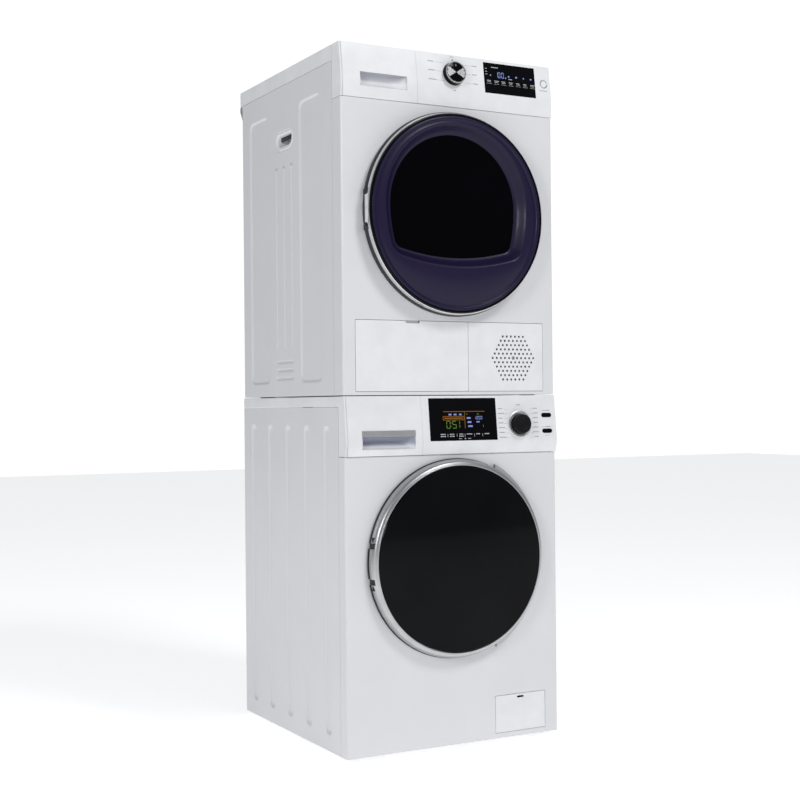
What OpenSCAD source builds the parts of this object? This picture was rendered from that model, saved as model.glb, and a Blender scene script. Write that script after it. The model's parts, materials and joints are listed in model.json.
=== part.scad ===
// Stacked laundry pair: a front-loading washer with a condenser dryer standing on it.
// X runs to the right, Y to the back and Z up, in millimetres. The origin is on the floor,
// under the middle of the pair. Inside the modules y = 0 is the washer's front face, and
// the last lines move every piece back so that the pair is centred on the origin.

/* [Cabinets] */
// Width of both cabinets
width = 595; // [560:1:720]
// Washer depth, front face to rear panel
washer_depth = 620; // [600:1:750]
// Washer height, cabinet bottom to worktop
washer_height = 849; // [840:1:1020]
// Dryer depth, front face to rear panel
dryer_depth = 609; // [600:1:740]
// Dryer height, cabinet bottom to worktop
dryer_height = 832.5; // [815:0.5:1000]
// Clear height under the washer cabinet
foot_gap = 10; // [8:1:30]
// Gap between the washer's worktop and the dryer
stack_gap = 2; // [1:0.5:8]
// How far the dryer's front face stands behind the washer's
dryer_setback = 4.4; // [0:0.1:12]
// Thickness of the cabinet sheet
sheet = 1; // [0.7:0.1:1.5]
// Radius of the vertical front corners
corner_r = 6; // [3:0.5:10]
// Thickness of the washer's worktop
washer_worktop = 25; // [18:1:32]
// Height of the dryer worktop's edge
dryer_worktop = 38; // [28:1:45]

/* [Consoles] */
// Height of the washer's console
washer_console_h = 142.5; // [135:0.5:170]
// Height of the dryer's console
dryer_console_h = 130; // [124:0.5:160]
// Height of the lower band below each console's crease
washer_band = 30; // [20:1:34]
// Height of the dryer console's lower band
dryer_band = 43; // [30:1:44]
// Wall of the consoles
console_wall = 3.5; // [3:0.5:5]
// Width of the drawer fronts
drawer_w = 200; // [185:1:240]
// Washer display width
washer_display_w = 191; // [150:1:200]
// Washer display height
washer_display_h = 104; // [80:1:106]
// Dryer display width
dryer_display_w = 151; // [120:1:160]
// Dryer display height
dryer_display_h = 78; // [60:1:80]
// Radius of the washer's programme knob
washer_knob_r = 25.5; // [18:0.5:30]
// Radius of the dryer's programme knob
dryer_knob_r = 29; // [20:0.5:32]
// Travel of the push buttons
button_travel = 1.5; // [1:0.1:2.5]

/* [Doors] */
// Height of the washer door's centre above the cabinet bottom
washer_door_h = 454; // [450:1:480]
// Outer radius of the washer door
washer_door_r = 241; // [236:1:252]
// Height of the dryer door's centre above the dryer's bottom
dryer_door_h = 437.7; // [430:0.1:445]
// Outer radius of the dryer door
dryer_door_r = 248.4; // [244:0.2:252]
// Radius of the opening in the washer's front panel
washer_mouth_r = 178; // [170:1:182]
// Radius of the opening in the dryer's front panel
dryer_mouth_r = 200; // [190:1:206]
// Radius of the hinge pins
hinge_pin_r = 3; // [2.5:0.1:3.4]

/* [Flaps] */
// Width of the pump flap
pump_flap_w = 146; // [120:1:160]
// Height of the pump flap
pump_flap_h = 91; // [84:1:100]
// Height of the dryer's lower panel
low_panel_h = 169; // [150:1:170]
// Width of the dryer's lower panel
low_panel_w = 528; // [500:1:540]
// Share of that width that opens, from the left edge to the seam
filter_flap_w = 309; // [290:1:330]
// Gap round flaps, fronts and doors
gap = 1; // [0.6:0.1:1.6]

/* [Machinery] */
// Outer radius of the washer's tub
tub_r = 262; // [255:1:264]
// Radius of the washer's drum
drum_r = 240; // [220:1:246]
// Length of the washer's drum
drum_len = 360; // [300:1:362]
// Radius of the washer's drum pulley
pulley_r = 150; // [120:1:180]
// Radius of the washer's motor pulley
motor_pulley_r = 12; // [10:0.5:16]
// Radius of the dryer's drum
dryer_drum_r = 255; // [240:1:258]
// Length of the dryer's drum
dryer_drum_len = 480; // [400:1:482]
// Radial clearance of a shaft in its bearing or bush
shaft_fit = 0.05; // [0.02:0.01:0.1]
// Gap between a belt and the pulleys that it runs on
belt_gap = 0.4; // [0.3:0.1:1]

/* [Hidden] */
$fn = 96;
eps = 0.01;

WHITE = [0.93, 0.93, 0.94];
PALE_GREY = [0.80, 0.81, 0.83];
SILVER = [0.62, 0.63, 0.65];
STEEL = [0.70, 0.71, 0.72];
DARK = [0.12, 0.12, 0.13];
BLACK = [0.03, 0.03, 0.04];
VIOLET = [0.16, 0.12, 0.28];
CLEAR = [0.55, 0.65, 0.70];

// Heights and planes
half = width / 2;
washer_z = foot_gap;
washer_top = washer_z + washer_height;
dryer_z = washer_top + stack_gap;
dryer_top = dryer_z + dryer_height;
washer_rear = washer_depth;
dryer_front = dryer_setback;
dryer_rear = dryer_front + dryer_depth;
overhang = 33;                       // the dryer worktop past its rear panel
washer_overhang = 2.5;
worktop_back = max(dryer_rear + overhang, washer_rear + washer_overhang);
door_bulge = 46;                     // the washer door's glass in front of the front face
place_y = -(worktop_back - door_bulge) / 2;
washer_wrap = 32;                    // how far the fronts turn back along the sides
dryer_wrap = 47;
flange = 16;                         // folded edges of the sheet panels

// Consoles: each is [seam z, crease z, top z, top y, crease y, seam y, back y]
washer_seam = washer_top - washer_console_h;
dryer_seam = dryer_top - dryer_console_h;
washer_face = [washer_seam, washer_seam + washer_band, washer_top, 3, -9, -3.5, washer_wrap];
dryer_face = [dryer_seam, dryer_seam + dryer_band, dryer_top, dryer_front + 9, dryer_front - 2,
              dryer_front - 0.5, dryer_front + dryer_wrap];
drawer_x0 = -half + 6;
drawer_x1 = drawer_x0 + drawer_w;
front_t = 3;                         // thickness of the drawer fronts
pull_w = 142;                        // the finger pulls
pull_x = drawer_x0 + 37.5 + pull_w / 2;
pull_deep = 20;
washer_pull_h = 43;
washer_pull_z = washer_seam + 16.5;
dryer_pull_h = 33;
dryer_pull_z = dryer_seam + 28.5;
dryer_display_x = half - 122;
washer_knob_z = washer_seam + 70;
dryer_knob_x = 11;
dryer_knob_z = dryer_seam + 82;
knob_shaft_r = 4;
knob_lift = 0.6;
bezel_r = 35.5;
button_w = 29;
button_x = half - 28.8;
// Gaps from the drawer to the washer's display, its knob and its buttons: they share the room that is left
control_shares = [20.5, 31.5, 31.7];
control_room = (button_x - button_w / 2 - drawer_x1 - washer_display_w - 2 * bezel_r)
    / (control_shares[0] + control_shares[1] + control_shares[2]);
washer_display_x = drawer_x1 + control_room * control_shares[0] + washer_display_w / 2;
washer_knob_x = washer_display_x + washer_display_w / 2 + control_room * control_shares[1] + bezel_r;
button_h = 10.4;
power_z = washer_seam + 92;
start_z = washer_seam + 52.5;
dryer_power_x = half - 21;
dryer_power_z = dryer_seam + 84;
dryer_power_r = 8.6;
button_gap = 0.35;

// Doors
washer_door_z = washer_z + washer_door_h;
dryer_door_z = dryer_z + dryer_door_h;
washer_hinge_x = -washer_door_r + 11;
washer_hinge_y = -15;
dryer_hinge_x = -dryer_door_r + 12.4;
dryer_hinge_y = dryer_front - 18;
ear_z = 42.5;                        // hinge ears above and below the door's centre
ear_h = 13;
ear_gap = 0.8;
hinge_clear = 9;                     // room in front of the hinge pins
knuckle_r = 5;
catch_x = 205;
glass_r = washer_door_r - 15.7;
bowl_r = 148;
bowl_deep = 85;
pin_fit = 0.06;

// Flaps
pump_flap_x0 = half - 112.5 - pump_flap_w / 2;
pump_flap_x1 = pump_flap_x0 + pump_flap_w;
pump_flap_z = washer_z + 13.5;
low_x0 = -low_panel_w / 2;
low_z = dryer_z + 9;
low_z1 = low_z + low_panel_h;
flap_seam = low_x0 + filter_flap_w;
flap_t = 2.5;
flap_corner_r = 2;
flap_pin_r = 1.5;
flap_pin_y = 4.2;                    // behind the front of the flap

// Washer machinery, along the drum's axis
tub_front = 55;
tub_wall = 5;
drum_front = tub_front + 9;
drum_rear = drum_front + drum_len;
drum_wall = 1.2;
tub_rear = drum_rear + 22;
shaft_r = 15;
bearing_r = 31;
bearing_w = 16;
bearing_1 = tub_rear + 4;
bearing_2 = bearing_1 + 32;
hub_end = bearing_2 + bearing_w;
shaft_end_r = 12;
pulley_y = hub_end + 10;
pulley_w = 24;
belt_w = 18;
belt_t = 4;
belt_y = pulley_y + (pulley_w - belt_w) / 2;
motor_x = -40;
motor_z = washer_door_z - tub_r - 85;
motor_r = 62;
motor_y0 = drum_rear - 45;
motor_y1 = hub_end;
spring_x = half - 67;
spring_y = drum_rear - 24;
spring_z0 = washer_door_z + 192;
spring_z1 = washer_top - washer_worktop - 26;
damper_y = 250;
damper_x0 = 168;
damper_x1 = half - 62;
filter_x = (pump_flap_x0 + pump_flap_x1) / 2;
filter_z = pump_flap_z + pump_flap_h / 2;
filter_r = 26;
valve_x = -180;
valve_z = washer_top - washer_worktop - 42;
thread_r = 13.2;
housing_y1 = 330;
housing_z0 = washer_seam + 22;
housing_z1 = washer_top - washer_worktop - 2;
tray_w = drawer_w - 26;
tray_x = (drawer_x0 + drawer_x1) / 2;
tray_len = 280;

// Dryer machinery
dryer_drum_front = dryer_front + 60;
dryer_drum_rear = dryer_drum_front + dryer_drum_len;
stub_r = 10;
condenser_x0 = low_x0 + 14;
condenser_x1 = flap_seam - 16;
condenser_z1 = dryer_z + 158;
condenser_y1 = dryer_front + 430;
base_z = dryer_z + 10;
dryer_motor_x = half - 127.5;
dryer_motor_z = dryer_z + 84;
dryer_pulley_r = 8;
dryer_belt_y = dryer_front + 445;
dryer_belt_w = 12;
dryer_belt_t = 2.5;
tank_z0 = dryer_seam + 9;
tank_h = 68;
tank_len = 480;

// Sheet panels
washer_side_top = washer_top - washer_worktop - 1;
dryer_side_top = dryer_top - dryer_worktop - 1;
bead_w = 36;                         // pressed beads in the washer's sides
bead_deep = 3;
bead_y = 98;                         // the first bead, behind the front face
bead_pitch = (washer_depth - 166.8) / 4;
recess_y = [180, 500];               // pressed recesses in the dryer's sides
recess_w = 124;
recess_deep = 3;
grip_y = 333;                        // hand grips in the dryer's sides
grip_z = dryer_z + 656;
grip_w = 88;
grip_up = 12;
grip_down = 22;
louvre_pitch = 21;
rib_pitch = 47.5;

// Rear panels
cord_z = washer_z + 690;
drain_x = 190;
drain_r = 14;
cord_x = drain_x + 60;
gland_hole_r = 9;
transit_x = 200;
transit_z = 150;
transit_r = 7.5;
screw_r = 4.2;
screw_shank_r = 1.9;
screw_hole_r = 2;
bracket_x = [-120, 90];
bracket_w = 30;

// Grille in the dryer's vent panel
grille_x = flap_seam + 131;
grille_z = low_z + 82;
grille_dx = 12;
grille_dz = 10.7;
grille_hole = 5.4;

// Feet
foot_x = half - 45;
foot_y = [60, washer_depth - 60];
foot_thread_r = 5;

// ---------- shared shapes ----------

// A box between two corners
module block(a, b) translate(a) cube(b - a);

// A round bar along Y
module bar_y(x, z, r, y0, y1) translate([x, y0, z]) rotate([-90, 0, 0]) cylinder(r = r, h = y1 - y0);

// A round bar along Z
module bar_z(x, y, r, z0, z1) translate([x, y, z0]) cylinder(r = r, h = z1 - z0);

// A round bar along X
module bar_x(y, z, r, x0, x1) translate([x0, y, z]) rotate([0, 90, 0]) cylinder(r = r, h = x1 - x0);

// A shape turned about an axis along Y; the points are [radius, y]
module turned(x, z, points) translate([x, 0, z]) rotate([-90, 0, 0]) rotate_extrude() polygon(points);

// A profile of [y, z] points drawn out along X
module profile_x(x0, x1, points)
    translate([x0, 0, 0]) rotate([90, 0, 90]) linear_extrude(x1 - x0) polygon(points);

// A profile of [x, z] points drawn back along Y
module profile_y(points, y0, y1) translate([0, y1, 0]) rotate([90, 0,
    0]) linear_extrude(y1 - y0) polygon(points);

// A profile of [x, y] points drawn up along Z
module profile_z(points, z0, z1) translate([0, 0, z0]) linear_extrude(z1 - z0) polygon(points);

// A plate in the XZ plane with rounded corners
module plate_y(x0, x1, z0, z1, r, y0, y1) {
    block([x0 + r, y0, z0], [x1 - r, y1, z1]);
    block([x0, y0, z0 + r], [x1, y1, z1 - r]);
    for (x = [x0 + r, x1 - r], z = [z0 + r, z1 - r]) bar_y(x, z, r, y0, y1);
}

// An upright pill in the YZ plane, from x0 to x1
module pill_x(y, z0, z1, w, x0, x1) {
    block([x0, y - w / 2, z0 + w / 2], [x1, y + w / 2, z1 - w / 2]);
    for (z = [z0 + w / 2, z1 - w / 2]) bar_x(y, z, w / 2, x0, x1);
}

// Both mirrored copies, right and left
module both_sides() {
    children();
    mirror([1, 0, 0]) children();
}

// A flat loop round two wheels, in the XZ plane
module belt_loop(x0, z0, r0, x1, z1, r1, t, y0, y1) {
    translate([0, y1, 0]) rotate([90, 0, 0]) linear_extrude(y1 - y0) difference() {
        hull() {
            translate([x0, z0]) circle(r0 + t);
            translate([x1, z1]) circle(r1 + t, $fn = 32);
        }
        hull() {
            translate([x0, z0]) circle(r0);
            translate([x1, z1]) circle(r1, $fn = 32);
        }
    }
}

// Points of a shallow dome, from its middle out to radius r, rising by sag at y0
function dome(r, sag, y0, n = 14) =
    let (big = (r * r + sag * sag) / (2 * sag))
    [for (i = [0:n]) let (q = r * i / n) [q, y0 - sqrt(big * big - q * q) + big - sag]];

function reverse(list) = [for (i = [len(list) - 1:-1:0]) list[i]];

// A coil spring standing on z0: a wire of radius w swept up a helix of radius r
module coil(x, y, z0, z1, r, w, turns) {
    steps = 12;
    sides = 6;
    n = turns * steps;
    points = [for (i = [0:n], j = [0:sides - 1])
        let (a = 360 * i / steps, b = 360 * j / sides, q = r + w * cos(b))
        [x + q * cos(a), y + q * sin(a), z0 + w + (z1 - z0 - 2 * w) * i / n + w * sin(b)]];
    walls = [for (i = [0:n - 1], j = [0:sides - 1])
        let (k = (j + 1) % sides)
        [i * sides + k, (i + 1) * sides + k, (i + 1) * sides + j, i * sides + j]];
    ends = [[for (j = [0:sides - 1]) sides - 1 - j], [for (j = [0:sides - 1]) n * sides + j]];
    polyhedron(points, concat(walls, ends), convexity = 10);
}

// Hollow paddle standing inward from the top of a drum's wall
module paddle(r, wall, w, h, y0, y1) intersection() {
    t = 1.6;
    foot = 9;
    difference() {
        profile_y([[-w / 2, r], [w / 2, r], [w / 2, r - foot], [w / 6, r - h], [-w / 6, r - h],
            [-w / 2, r - foot]], y0, y1);
        profile_y([[-w / 2 + t, r + 1], [w / 2 - t, r + 1], [w / 2 - t, r - foot + t / 4],
            [w / 6 - t * 0.75, r - h + t],
            [-w / 6 + t * 0.75, r - h + t], [-w / 2 + t, r - foot + t / 4]], y0 + 2, y1 + 1);
    }
    bar_y(0, 0, r - wall / 2, y0 - 1, y1 + 1);
}

// ---------- cabinet shapes ----------

// Plan of a front that wraps round both sides, as an outline from y0 back to y1
module wrap_plan(y0, y1, inset) {
    r = corner_r - inset;
    w = half - inset;
    translate([-w, y0 + inset + r]) square([2 * w, y1 - y0 - inset - r]);
    translate([-w + r, y0 + inset]) square([2 * w - 2 * r, r + eps]);
    for (s = [-1, 1]) translate([s * (w - r), y0 + inset + r]) circle(r, $fn = 48);
}

module wrap_shell(y0, y1, z0, z1) translate([0, 0, z0]) linear_extrude(z1 - z0) difference() {
    wrap_plan(y0, y1, 0);
    wrap_plan(y0, y1 + 1, sheet);
}

// A side panel on the right, with folded edges
module side_shell(y0, y1, z0, z1) {
    difference() {
        block([half - flange, y0, z0], [half, y1, z1]);
        block([half - flange - 1, y0 + sheet, z0 - 1], [half - sheet, y1 - sheet, z1 - sheet]);
    }
}

// Room in a base for the folded front edges of the side panels
module fold_room(y, z0, z1) both_sides()
    block([half - flange - 0.5, y - 0.5, z0], [half, y + sheet + 0.5, z1]);

// Outer profile of a console, moved back by dy
function face_points(c, dy = 0, t = 0) = [
    [c[6], c[0] + t], [c[5] + dy, c[0] + t], [c[4] + dy, c[1]], [c[3] + dy, c[2] - t], [c[6], c[2] - t]
];
function face_lean(c) = atan2(c[3] - c[4], c[2] - c[1]);
function face_y(c, z) = c[4] + (z - c[1]) * (c[3] - c[4]) / (c[2] - c[1]);

module console_skin(c, x0, x1, d0, d1) difference() {
    profile_x(x0, x1, face_points(c, d0));
    profile_x(x0 - 1, x1 + 1, [
        [c[6] + 1, c[0] - 1], [c[5] + d1, c[0] - 1], [c[5] + d1, c[0]], [c[4] + d1, c[1]],
        [c[3] + d1, c[2]], [c[3] + d1, c[2] + 1], [c[6] + 1, c[2] + 1]
    ]);
}

// Local frame on a console's upper face: x right, y into the machine, z up the face
module on_face(c, x, z) translate([x, face_y(c, z), z]) rotate([-face_lean(c), 0, 0]) children();

// Console moulding with the seat for a drawer front and its opening, open at the back
module console_shell(c, opening_z0, opening_z1) difference() {
    union() {
        difference() {
            profile_x(-half, half, face_points(c));
            profile_x(-half + console_wall, half - console_wall,
                [for (p = face_points(c, console_wall, console_wall)) [p[0] == c[6] ? c[6] + 1 : p[0],
                    p[1]]]);
        }
        console_skin(c, -half + 1, drawer_x1 + 4, front_t + 0.4, front_t + 3);
    }
    console_skin(c, drawer_x0 - gap / 2, drawer_x1 + gap / 2, -1, front_t + 0.4);
    block([drawer_x0 + 14, -50, opening_z0], [drawer_x1 - 14, c[6] + 1, opening_z1]);
}

// Pill-shaped push button on a console face
module pill(w, h, y0, y1) {
    block([-w / 2 + h / 2, y0, -h / 2], [w / 2 - h / 2, y1, h / 2]);
    for (s = [-1, 1]) bar_y(s * (w / 2 - h / 2), 0, h / 2, y0, y1);
}

module pill_button() {
    pill(button_w, button_h, -button_travel, console_wall + 0.6);
    pill(button_w + 4, button_h + 4, console_wall + 0.4, console_wall + 1.6);
}

// Finger pull: a cup behind a drawer front, open to the front
module pull_cup(c, x0, x1, z0, z1, deep) difference() {
    intersection() {
        block([x0 - 2, -40, z0 - 2], [x1 + 2, deep + 2, z1 + 2]);
        profile_x(x0 - 3, x1 + 3, face_points(c, 0.5));
    }
    block([x0, -41, z0], [x1, deep, z1]);
}

module drawer_face(c) console_skin(c, drawer_x0, drawer_x1, 0, front_t);

// Rounded arch with a gently sagging bottom edge, in the XZ plane; radius r about z
module arch(z, r, drop, y0, y1) {
    bottom_r = 560;
    translate([0, y1, z]) rotate([90, 0, 0]) linear_extrude(y1 - y0) intersection() {
        union() {
            circle(r);
            translate([-r, -drop]) square([2 * r, drop]);
        }
        translate([0, bottom_r - drop]) circle(bottom_r, $fn = 240);
    }
}

function rear_screws(z0, z1) = [for (s = [-1, 1], k = [0:2]) [s * (half - 12),
    z0 + 40 + k * (z1 - z0 - 80) / 2]];

// ---------- washer ----------

module washer_base() color(STEEL) {
    x1 = half - sheet;
    difference() {
        block([-x1, 8, washer_z], [x1, washer_rear - 3, washer_z + 35]);
        block([-x1 + 2, 10, washer_z + 2], [x1 - 2, washer_rear - 5, washer_z + 36]);
        for (s = [-1, 1], y = foot_y) bar_z(s * foot_x, y, foot_thread_r + 0.06, washer_z - 1,
            washer_z + 3);
        fold_room(washer_wrap + gap, washer_z - 1, washer_z + 36);
        block([-x1 - 1, 7, washer_z + 12], [x1 + 1, 10.5, washer_z + 36]);
    }
    for (s = [-1, 1], y = foot_y) difference() {
        bar_z(s * foot_x, y, 11, washer_z + 2, washer_z + 16);
        bar_z(s * foot_x, y, foot_thread_r + 0.06, washer_z, washer_z + 17);
    }
    for (s = [-1, 1])
        block([s * damper_x1 - 14, damper_y - 10, washer_z + 1],
            [s * damper_x1 + 14, damper_y - 4, washer_z + 36]);
}

module washer_feet() color(DARK) for (s = [-1, 1], y = foot_y) {
    bar_z(s * foot_x, y, 19, 0, foot_gap - 6);
    bar_z(s * foot_x, y, 9, foot_gap - 6, foot_gap - 0.5);
    bar_z(s * foot_x, y, foot_thread_r, foot_gap - 0.5, washer_z + 24);
}

module washer_side_panels() color(WHITE) both_sides() {
    difference() {
        union() {
            side_shell(washer_wrap + gap, washer_rear, washer_z, washer_side_top);
            for (k = [0:4]) pill_x(bead_y + k * bead_pitch, washer_z + 38, washer_side_top - 44, bead_w,
                half - bead_deep - sheet, half - sheet + eps);
            block([spring_x - 16, spring_y - 16, spring_z1],
                [half - sheet + eps, spring_y + 16, spring_z1 + 3]);
        }
        for (k = [0:4]) pill_x(bead_y + k * bead_pitch, washer_z + 40, washer_side_top - 46, bead_w - 4,
            half - bead_deep, half + 1);
        for (p = rear_screws(washer_z, washer_side_top)) if (p[0] > 0) bar_y(p[0], p[1],
            2, washer_rear - 3, washer_rear + 1);
    }
}

module rear_holes(p, y) {
    for (q = p) bar_y(q[0], q[1], screw_hole_r, y - 3, y + 3);
}

module washer_rear_panel() color(PALE_GREY) difference() {
    union() {
        block([-half + sheet, washer_rear, washer_z + 4],
            [half - sheet, washer_rear + sheet, washer_side_top]);
        for (s = [-1, 1]) pill_beam(s * 95, washer_z + 120, washer_z + 620, washer_rear + sheet);
    }
    rear_holes(rear_screws(washer_z, washer_side_top), washer_rear);
    for (x = bracket_x) bar_y(x + bracket_w / 2, washer_side_top - 25, 2, washer_rear - 2, washer_rear + 5);
    bar_y(valve_x, valve_z, thread_r + 1.5, washer_rear - 1, washer_rear + 4);
    bar_y(drain_x, cord_z - 40, drain_r, washer_rear - 1, washer_rear + 4);
    bar_y(cord_x, cord_z, gland_hole_r, washer_rear - 1, washer_rear + 4);
    for (s = [-1, 1], z = [-1, 1]) bar_y(s * transit_x, washer_door_z + z * transit_z, transit_r,
        washer_rear - 1, washer_rear + 4);
}

// Stiffening bead on a rear panel
module pill_beam(x, z0, z1, y) {
    block([x - 12, y - eps, z0], [x + 12, y + 1.5, z1]);
}

module washer_front_panel() color(WHITE) {
    difference() {
        union() {
            wrap_shell(0, washer_wrap, washer_z, washer_seam - gap);
            bar_y(0, washer_door_z, washer_mouth_r + 2, sheet - eps, 14);
            block([catch_x - 24, sheet - eps, washer_door_z - 34], [catch_x + 24, 3, washer_door_z + 34]);
            for (x = [pump_flap_x0 - 9, pump_flap_x1 + 3]) block([x, sheet - eps, pump_flap_z],
                [x + 6, 8, pump_flap_z + 9]);
        }
        bar_y(0, washer_door_z, washer_mouth_r, -1, 15);
        plate_y(pump_flap_x0 - gap, pump_flap_x1 + gap, pump_flap_z - gap, pump_flap_z + pump_flap_h + gap,
            flap_corner_r + 0.5, -1, sheet + 1);
        block([catch_x - 9, -1, washer_door_z - 18], [catch_x + 11, 5, washer_door_z + 18]);
        bar_x(flap_pin_y, pump_flap_z + 4.5, flap_pin_r + 0.08, pump_flap_x0 - 12, pump_flap_x1 + 12);
    }
}

module washer_worktop() color(WHITE) block([-half, washer_wrap + gap, washer_top - washer_worktop],
    [half, washer_rear + washer_overhang, washer_top]);

module washer_console() color(WHITE) difference() {
    union() {
        console_shell(washer_face, washer_pull_z - 4, housing_z1 - 1);
        on_face(washer_face, washer_knob_x, washer_knob_z) bar_y(0, 0, bezel_r, -2, 1);
        on_face(washer_face, washer_knob_x, washer_knob_z) bar_y(0, 0, 10, 1, 12);
    }
    on_face(washer_face, washer_knob_x, washer_knob_z) {
        bar_y(0, 0, knob_shaft_r + shaft_fit, -6, 20);
        bar_y(0, 0, washer_knob_r + 1.5, -6, 0);
    }
    on_face(washer_face, washer_display_x, washer_seam + washer_band + washer_display_h / 2 + 2.5) {
        block([-washer_display_w / 2 - 0.2, -3, -washer_display_h / 2 - 0.2],
            [washer_display_w / 2 + 0.2, 2.4, washer_display_h / 2 + 0.2]);
        block([-washer_display_w / 2 + 6, -3, -washer_display_h / 2 + 6],
            [washer_display_w / 2 - 6, 9, washer_display_h / 2 - 6]);
    }
    for (z = [power_z, start_z]) on_face(washer_face, button_x, z)
        pill(button_w + 2 * button_gap, button_h + 2 * button_gap, -4, 8);
}

module washer_display() color(BLACK)
    on_face(washer_face, washer_display_x, washer_seam + washer_band + washer_display_h / 2 + 2.5)
        block([-washer_display_w / 2, 0, -washer_display_h / 2],
            [washer_display_w / 2, 2.2, washer_display_h / 2]);

// Programme knob: a turned cap on a shaft, seated in the console
module knob(r, h) {
    turned(0, 0, [[0, -h], [r - 3, -h], [r - 1.5, -h + 1.5], [r - 1, -knob_lift - 2], [r, -knob_lift - 2],
        [r, -knob_lift], [knob_shaft_r, -knob_lift], [knob_shaft_r, 16], [0, 16]]);
}

module washer_knob() color(BLACK) on_face(washer_face, washer_knob_x, washer_knob_z) {
    difference() {
        knob(washer_knob_r, 20);
        block([-0.8, -21, washer_knob_r - 9], [0.8, -19.4, washer_knob_r + 1]);
    }
}

module washer_power_button() color(BLACK) on_face(washer_face, button_x, power_z) pill_button();
module washer_start_button() color(BLACK) on_face(washer_face, button_x, start_z) pill_button();

module washer_drawer() color(PALE_GREY) {
    x0 = tray_x - tray_w / 2 + 6;
    x1 = tray_x + tray_w / 2 - 6;
    y0 = pull_deep + 2;
    z0 = housing_z0 + 5;
    z1 = z0 + 58;
    difference() {
        block([x0, y0, z0], [x1, y0 + tray_len, z1]);
        for (k = [0:2]) {
            w = (x1 - x0 - 8) / 3;
            block([x0 + 2 + k * (w + 2), y0 + 2, z0 + 2], [x0 + 2 + k * (w + 2) + w, y0 + tray_len - 2,
                z1 + 1]);
        }
    }
}

module washer_drawer_front() color(WHITE) {
    x0 = pull_x - pull_w / 2;
    x1 = pull_x + pull_w / 2;
    z1 = washer_pull_z + washer_pull_h;
    difference() {
        drawer_face(washer_face);
        block([x0, -30, washer_pull_z], [x1, 10, z1]);
    }
    pull_cup(washer_face, x0, x1, washer_pull_z, z1, pull_deep);
    bar_face = face_y(washer_face, z1) + 0.4;
    block([x0 - 1, bar_face, z1 - 14], [x1 + 1, bar_face + 2, z1 + 1]);
}

module washer_drawer_housing() color(PALE_GREY) difference() {
    block([tray_x - tray_w / 2 - 2, washer_wrap + gap, housing_z0],
        [tray_x + tray_w / 2 + 2, housing_y1, housing_z1]);
    block([tray_x - tray_w / 2, washer_wrap, housing_z0 + 2],
        [tray_x + tray_w / 2, housing_y1 - 2, housing_z1 - 2]);
}

// Room in a door for the hinge ears and for the knuckle between them
module hinge_room(x, y, z) {
    for (s = [-1, 1]) block([x - 30, y - hinge_clear, z + s * ear_z - ear_h / 2 - ear_gap],
        [x + knuckle_r + 1.5, y + 30, z + s * ear_z + ear_h / 2 + ear_gap]);
    bar_z(x, y, knuckle_r - eps, z - ear_z - 20, z + ear_z + 20);
}

// Knuckle of a door: three barrels, the outer two and the middle one bored for the pins
module door_knuckle(x, y, z) difference() {
    bar_z(x, y, knuckle_r, z - ear_z - ear_h / 2 - 8, z + ear_z + ear_h / 2 + 8);
    for (s = [-1, 1]) {
        bar_z(x, y, hinge_pin_r + pin_fit, z + s * ear_z - 14.5, z + s * ear_z + 14.5);
        block([x - 6, y - 6, z + s * ear_z - ear_h / 2 - ear_gap],
            [x + 6, y + 6, z + s * ear_z + ear_h / 2 + ear_gap]);
    }
}

// Two ears with their pins, on a leaf behind the front panel
module hinge_leaf(x, y, z, wall_y) {
    for (s = [-1, 1]) {
        bar_z(x, y, knuckle_r, z + s * ear_z - ear_h / 2, z + s * ear_z + ear_h / 2);
        bar_z(x, y, hinge_pin_r, z + s * ear_z - ear_h / 2 - 6, z + s * ear_z + ear_h / 2 + 6);
        block([x - 4, y, z + s * ear_z - ear_h / 2], [x + 4, wall_y, z + s * ear_z + ear_h / 2]);
    }
}

module washer_door_ring() color(SILVER) {
    r = washer_door_r;
    z = washer_door_z;
    difference() {
        union() {
            difference() {
                turned(0, z, [[glass_r - 9, -26.5], [glass_r + 0.4, -26.5], [glass_r + 0.4, -29],
                    [r - 9, -29],
                    [r - 3, -22], [r, -17], [r, -10], [r - 4, -4], [bowl_r + 4, -4], [bowl_r + 4, -9],
                        [glass_r - 9, -9]]);
                block([catch_x - 7, -12, z - 12], [catch_x + 7, -3, z + 12]);
            }
            // Grip along the opening edge
            difference() {
                bar_y(-16, z, r + 16, -14, -6);
                bar_y(0, z, r - 10, -15, -5);
                block([-r - 40, -20, z - r - 20], [r * 0.44, 0, z + r + 20]);
            }
            for (s = [-1, 1]) block([catch_x - 7, -12, z + s * 10 - 2], [catch_x + 7, -4, z + s * 10 + 2]);
        }
        hinge_room(washer_hinge_x, washer_hinge_y, z);
        bar_z(catch_x, -7.5, 2 + shaft_fit, z - 14, z + 14);
    }
    door_knuckle(washer_hinge_x, washer_hinge_y, z);
}

module washer_door_glass() color(BLACK) turned(0, washer_door_z, concat(dome(glass_r, door_bulge - 31, -31),
    [[glass_r, -26.8]], reverse(dome(glass_r - 1, door_bulge - 31, -26.8))));

module washer_door_bowl() color(CLEAR) turned(0, washer_door_z, [[0, bowl_deep], [bowl_r - 30, bowl_deep],
    [bowl_r - 22, bowl_deep - 7], [bowl_r - 1, 10], [bowl_r, -3.8], [bowl_r + 3.7, -3.8],
        [bowl_r + 3.7, -9],
    [bowl_r - 6, -9], [bowl_r - 7, 8], [bowl_r - 27, bowl_deep - 11], [bowl_r - 33, bowl_deep - 5.5],
        [0, bowl_deep - 5.5]]);

module washer_door_hinge() color(DARK) {
    hinge_leaf(washer_hinge_x, washer_hinge_y, washer_door_z, 0);
}

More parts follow.
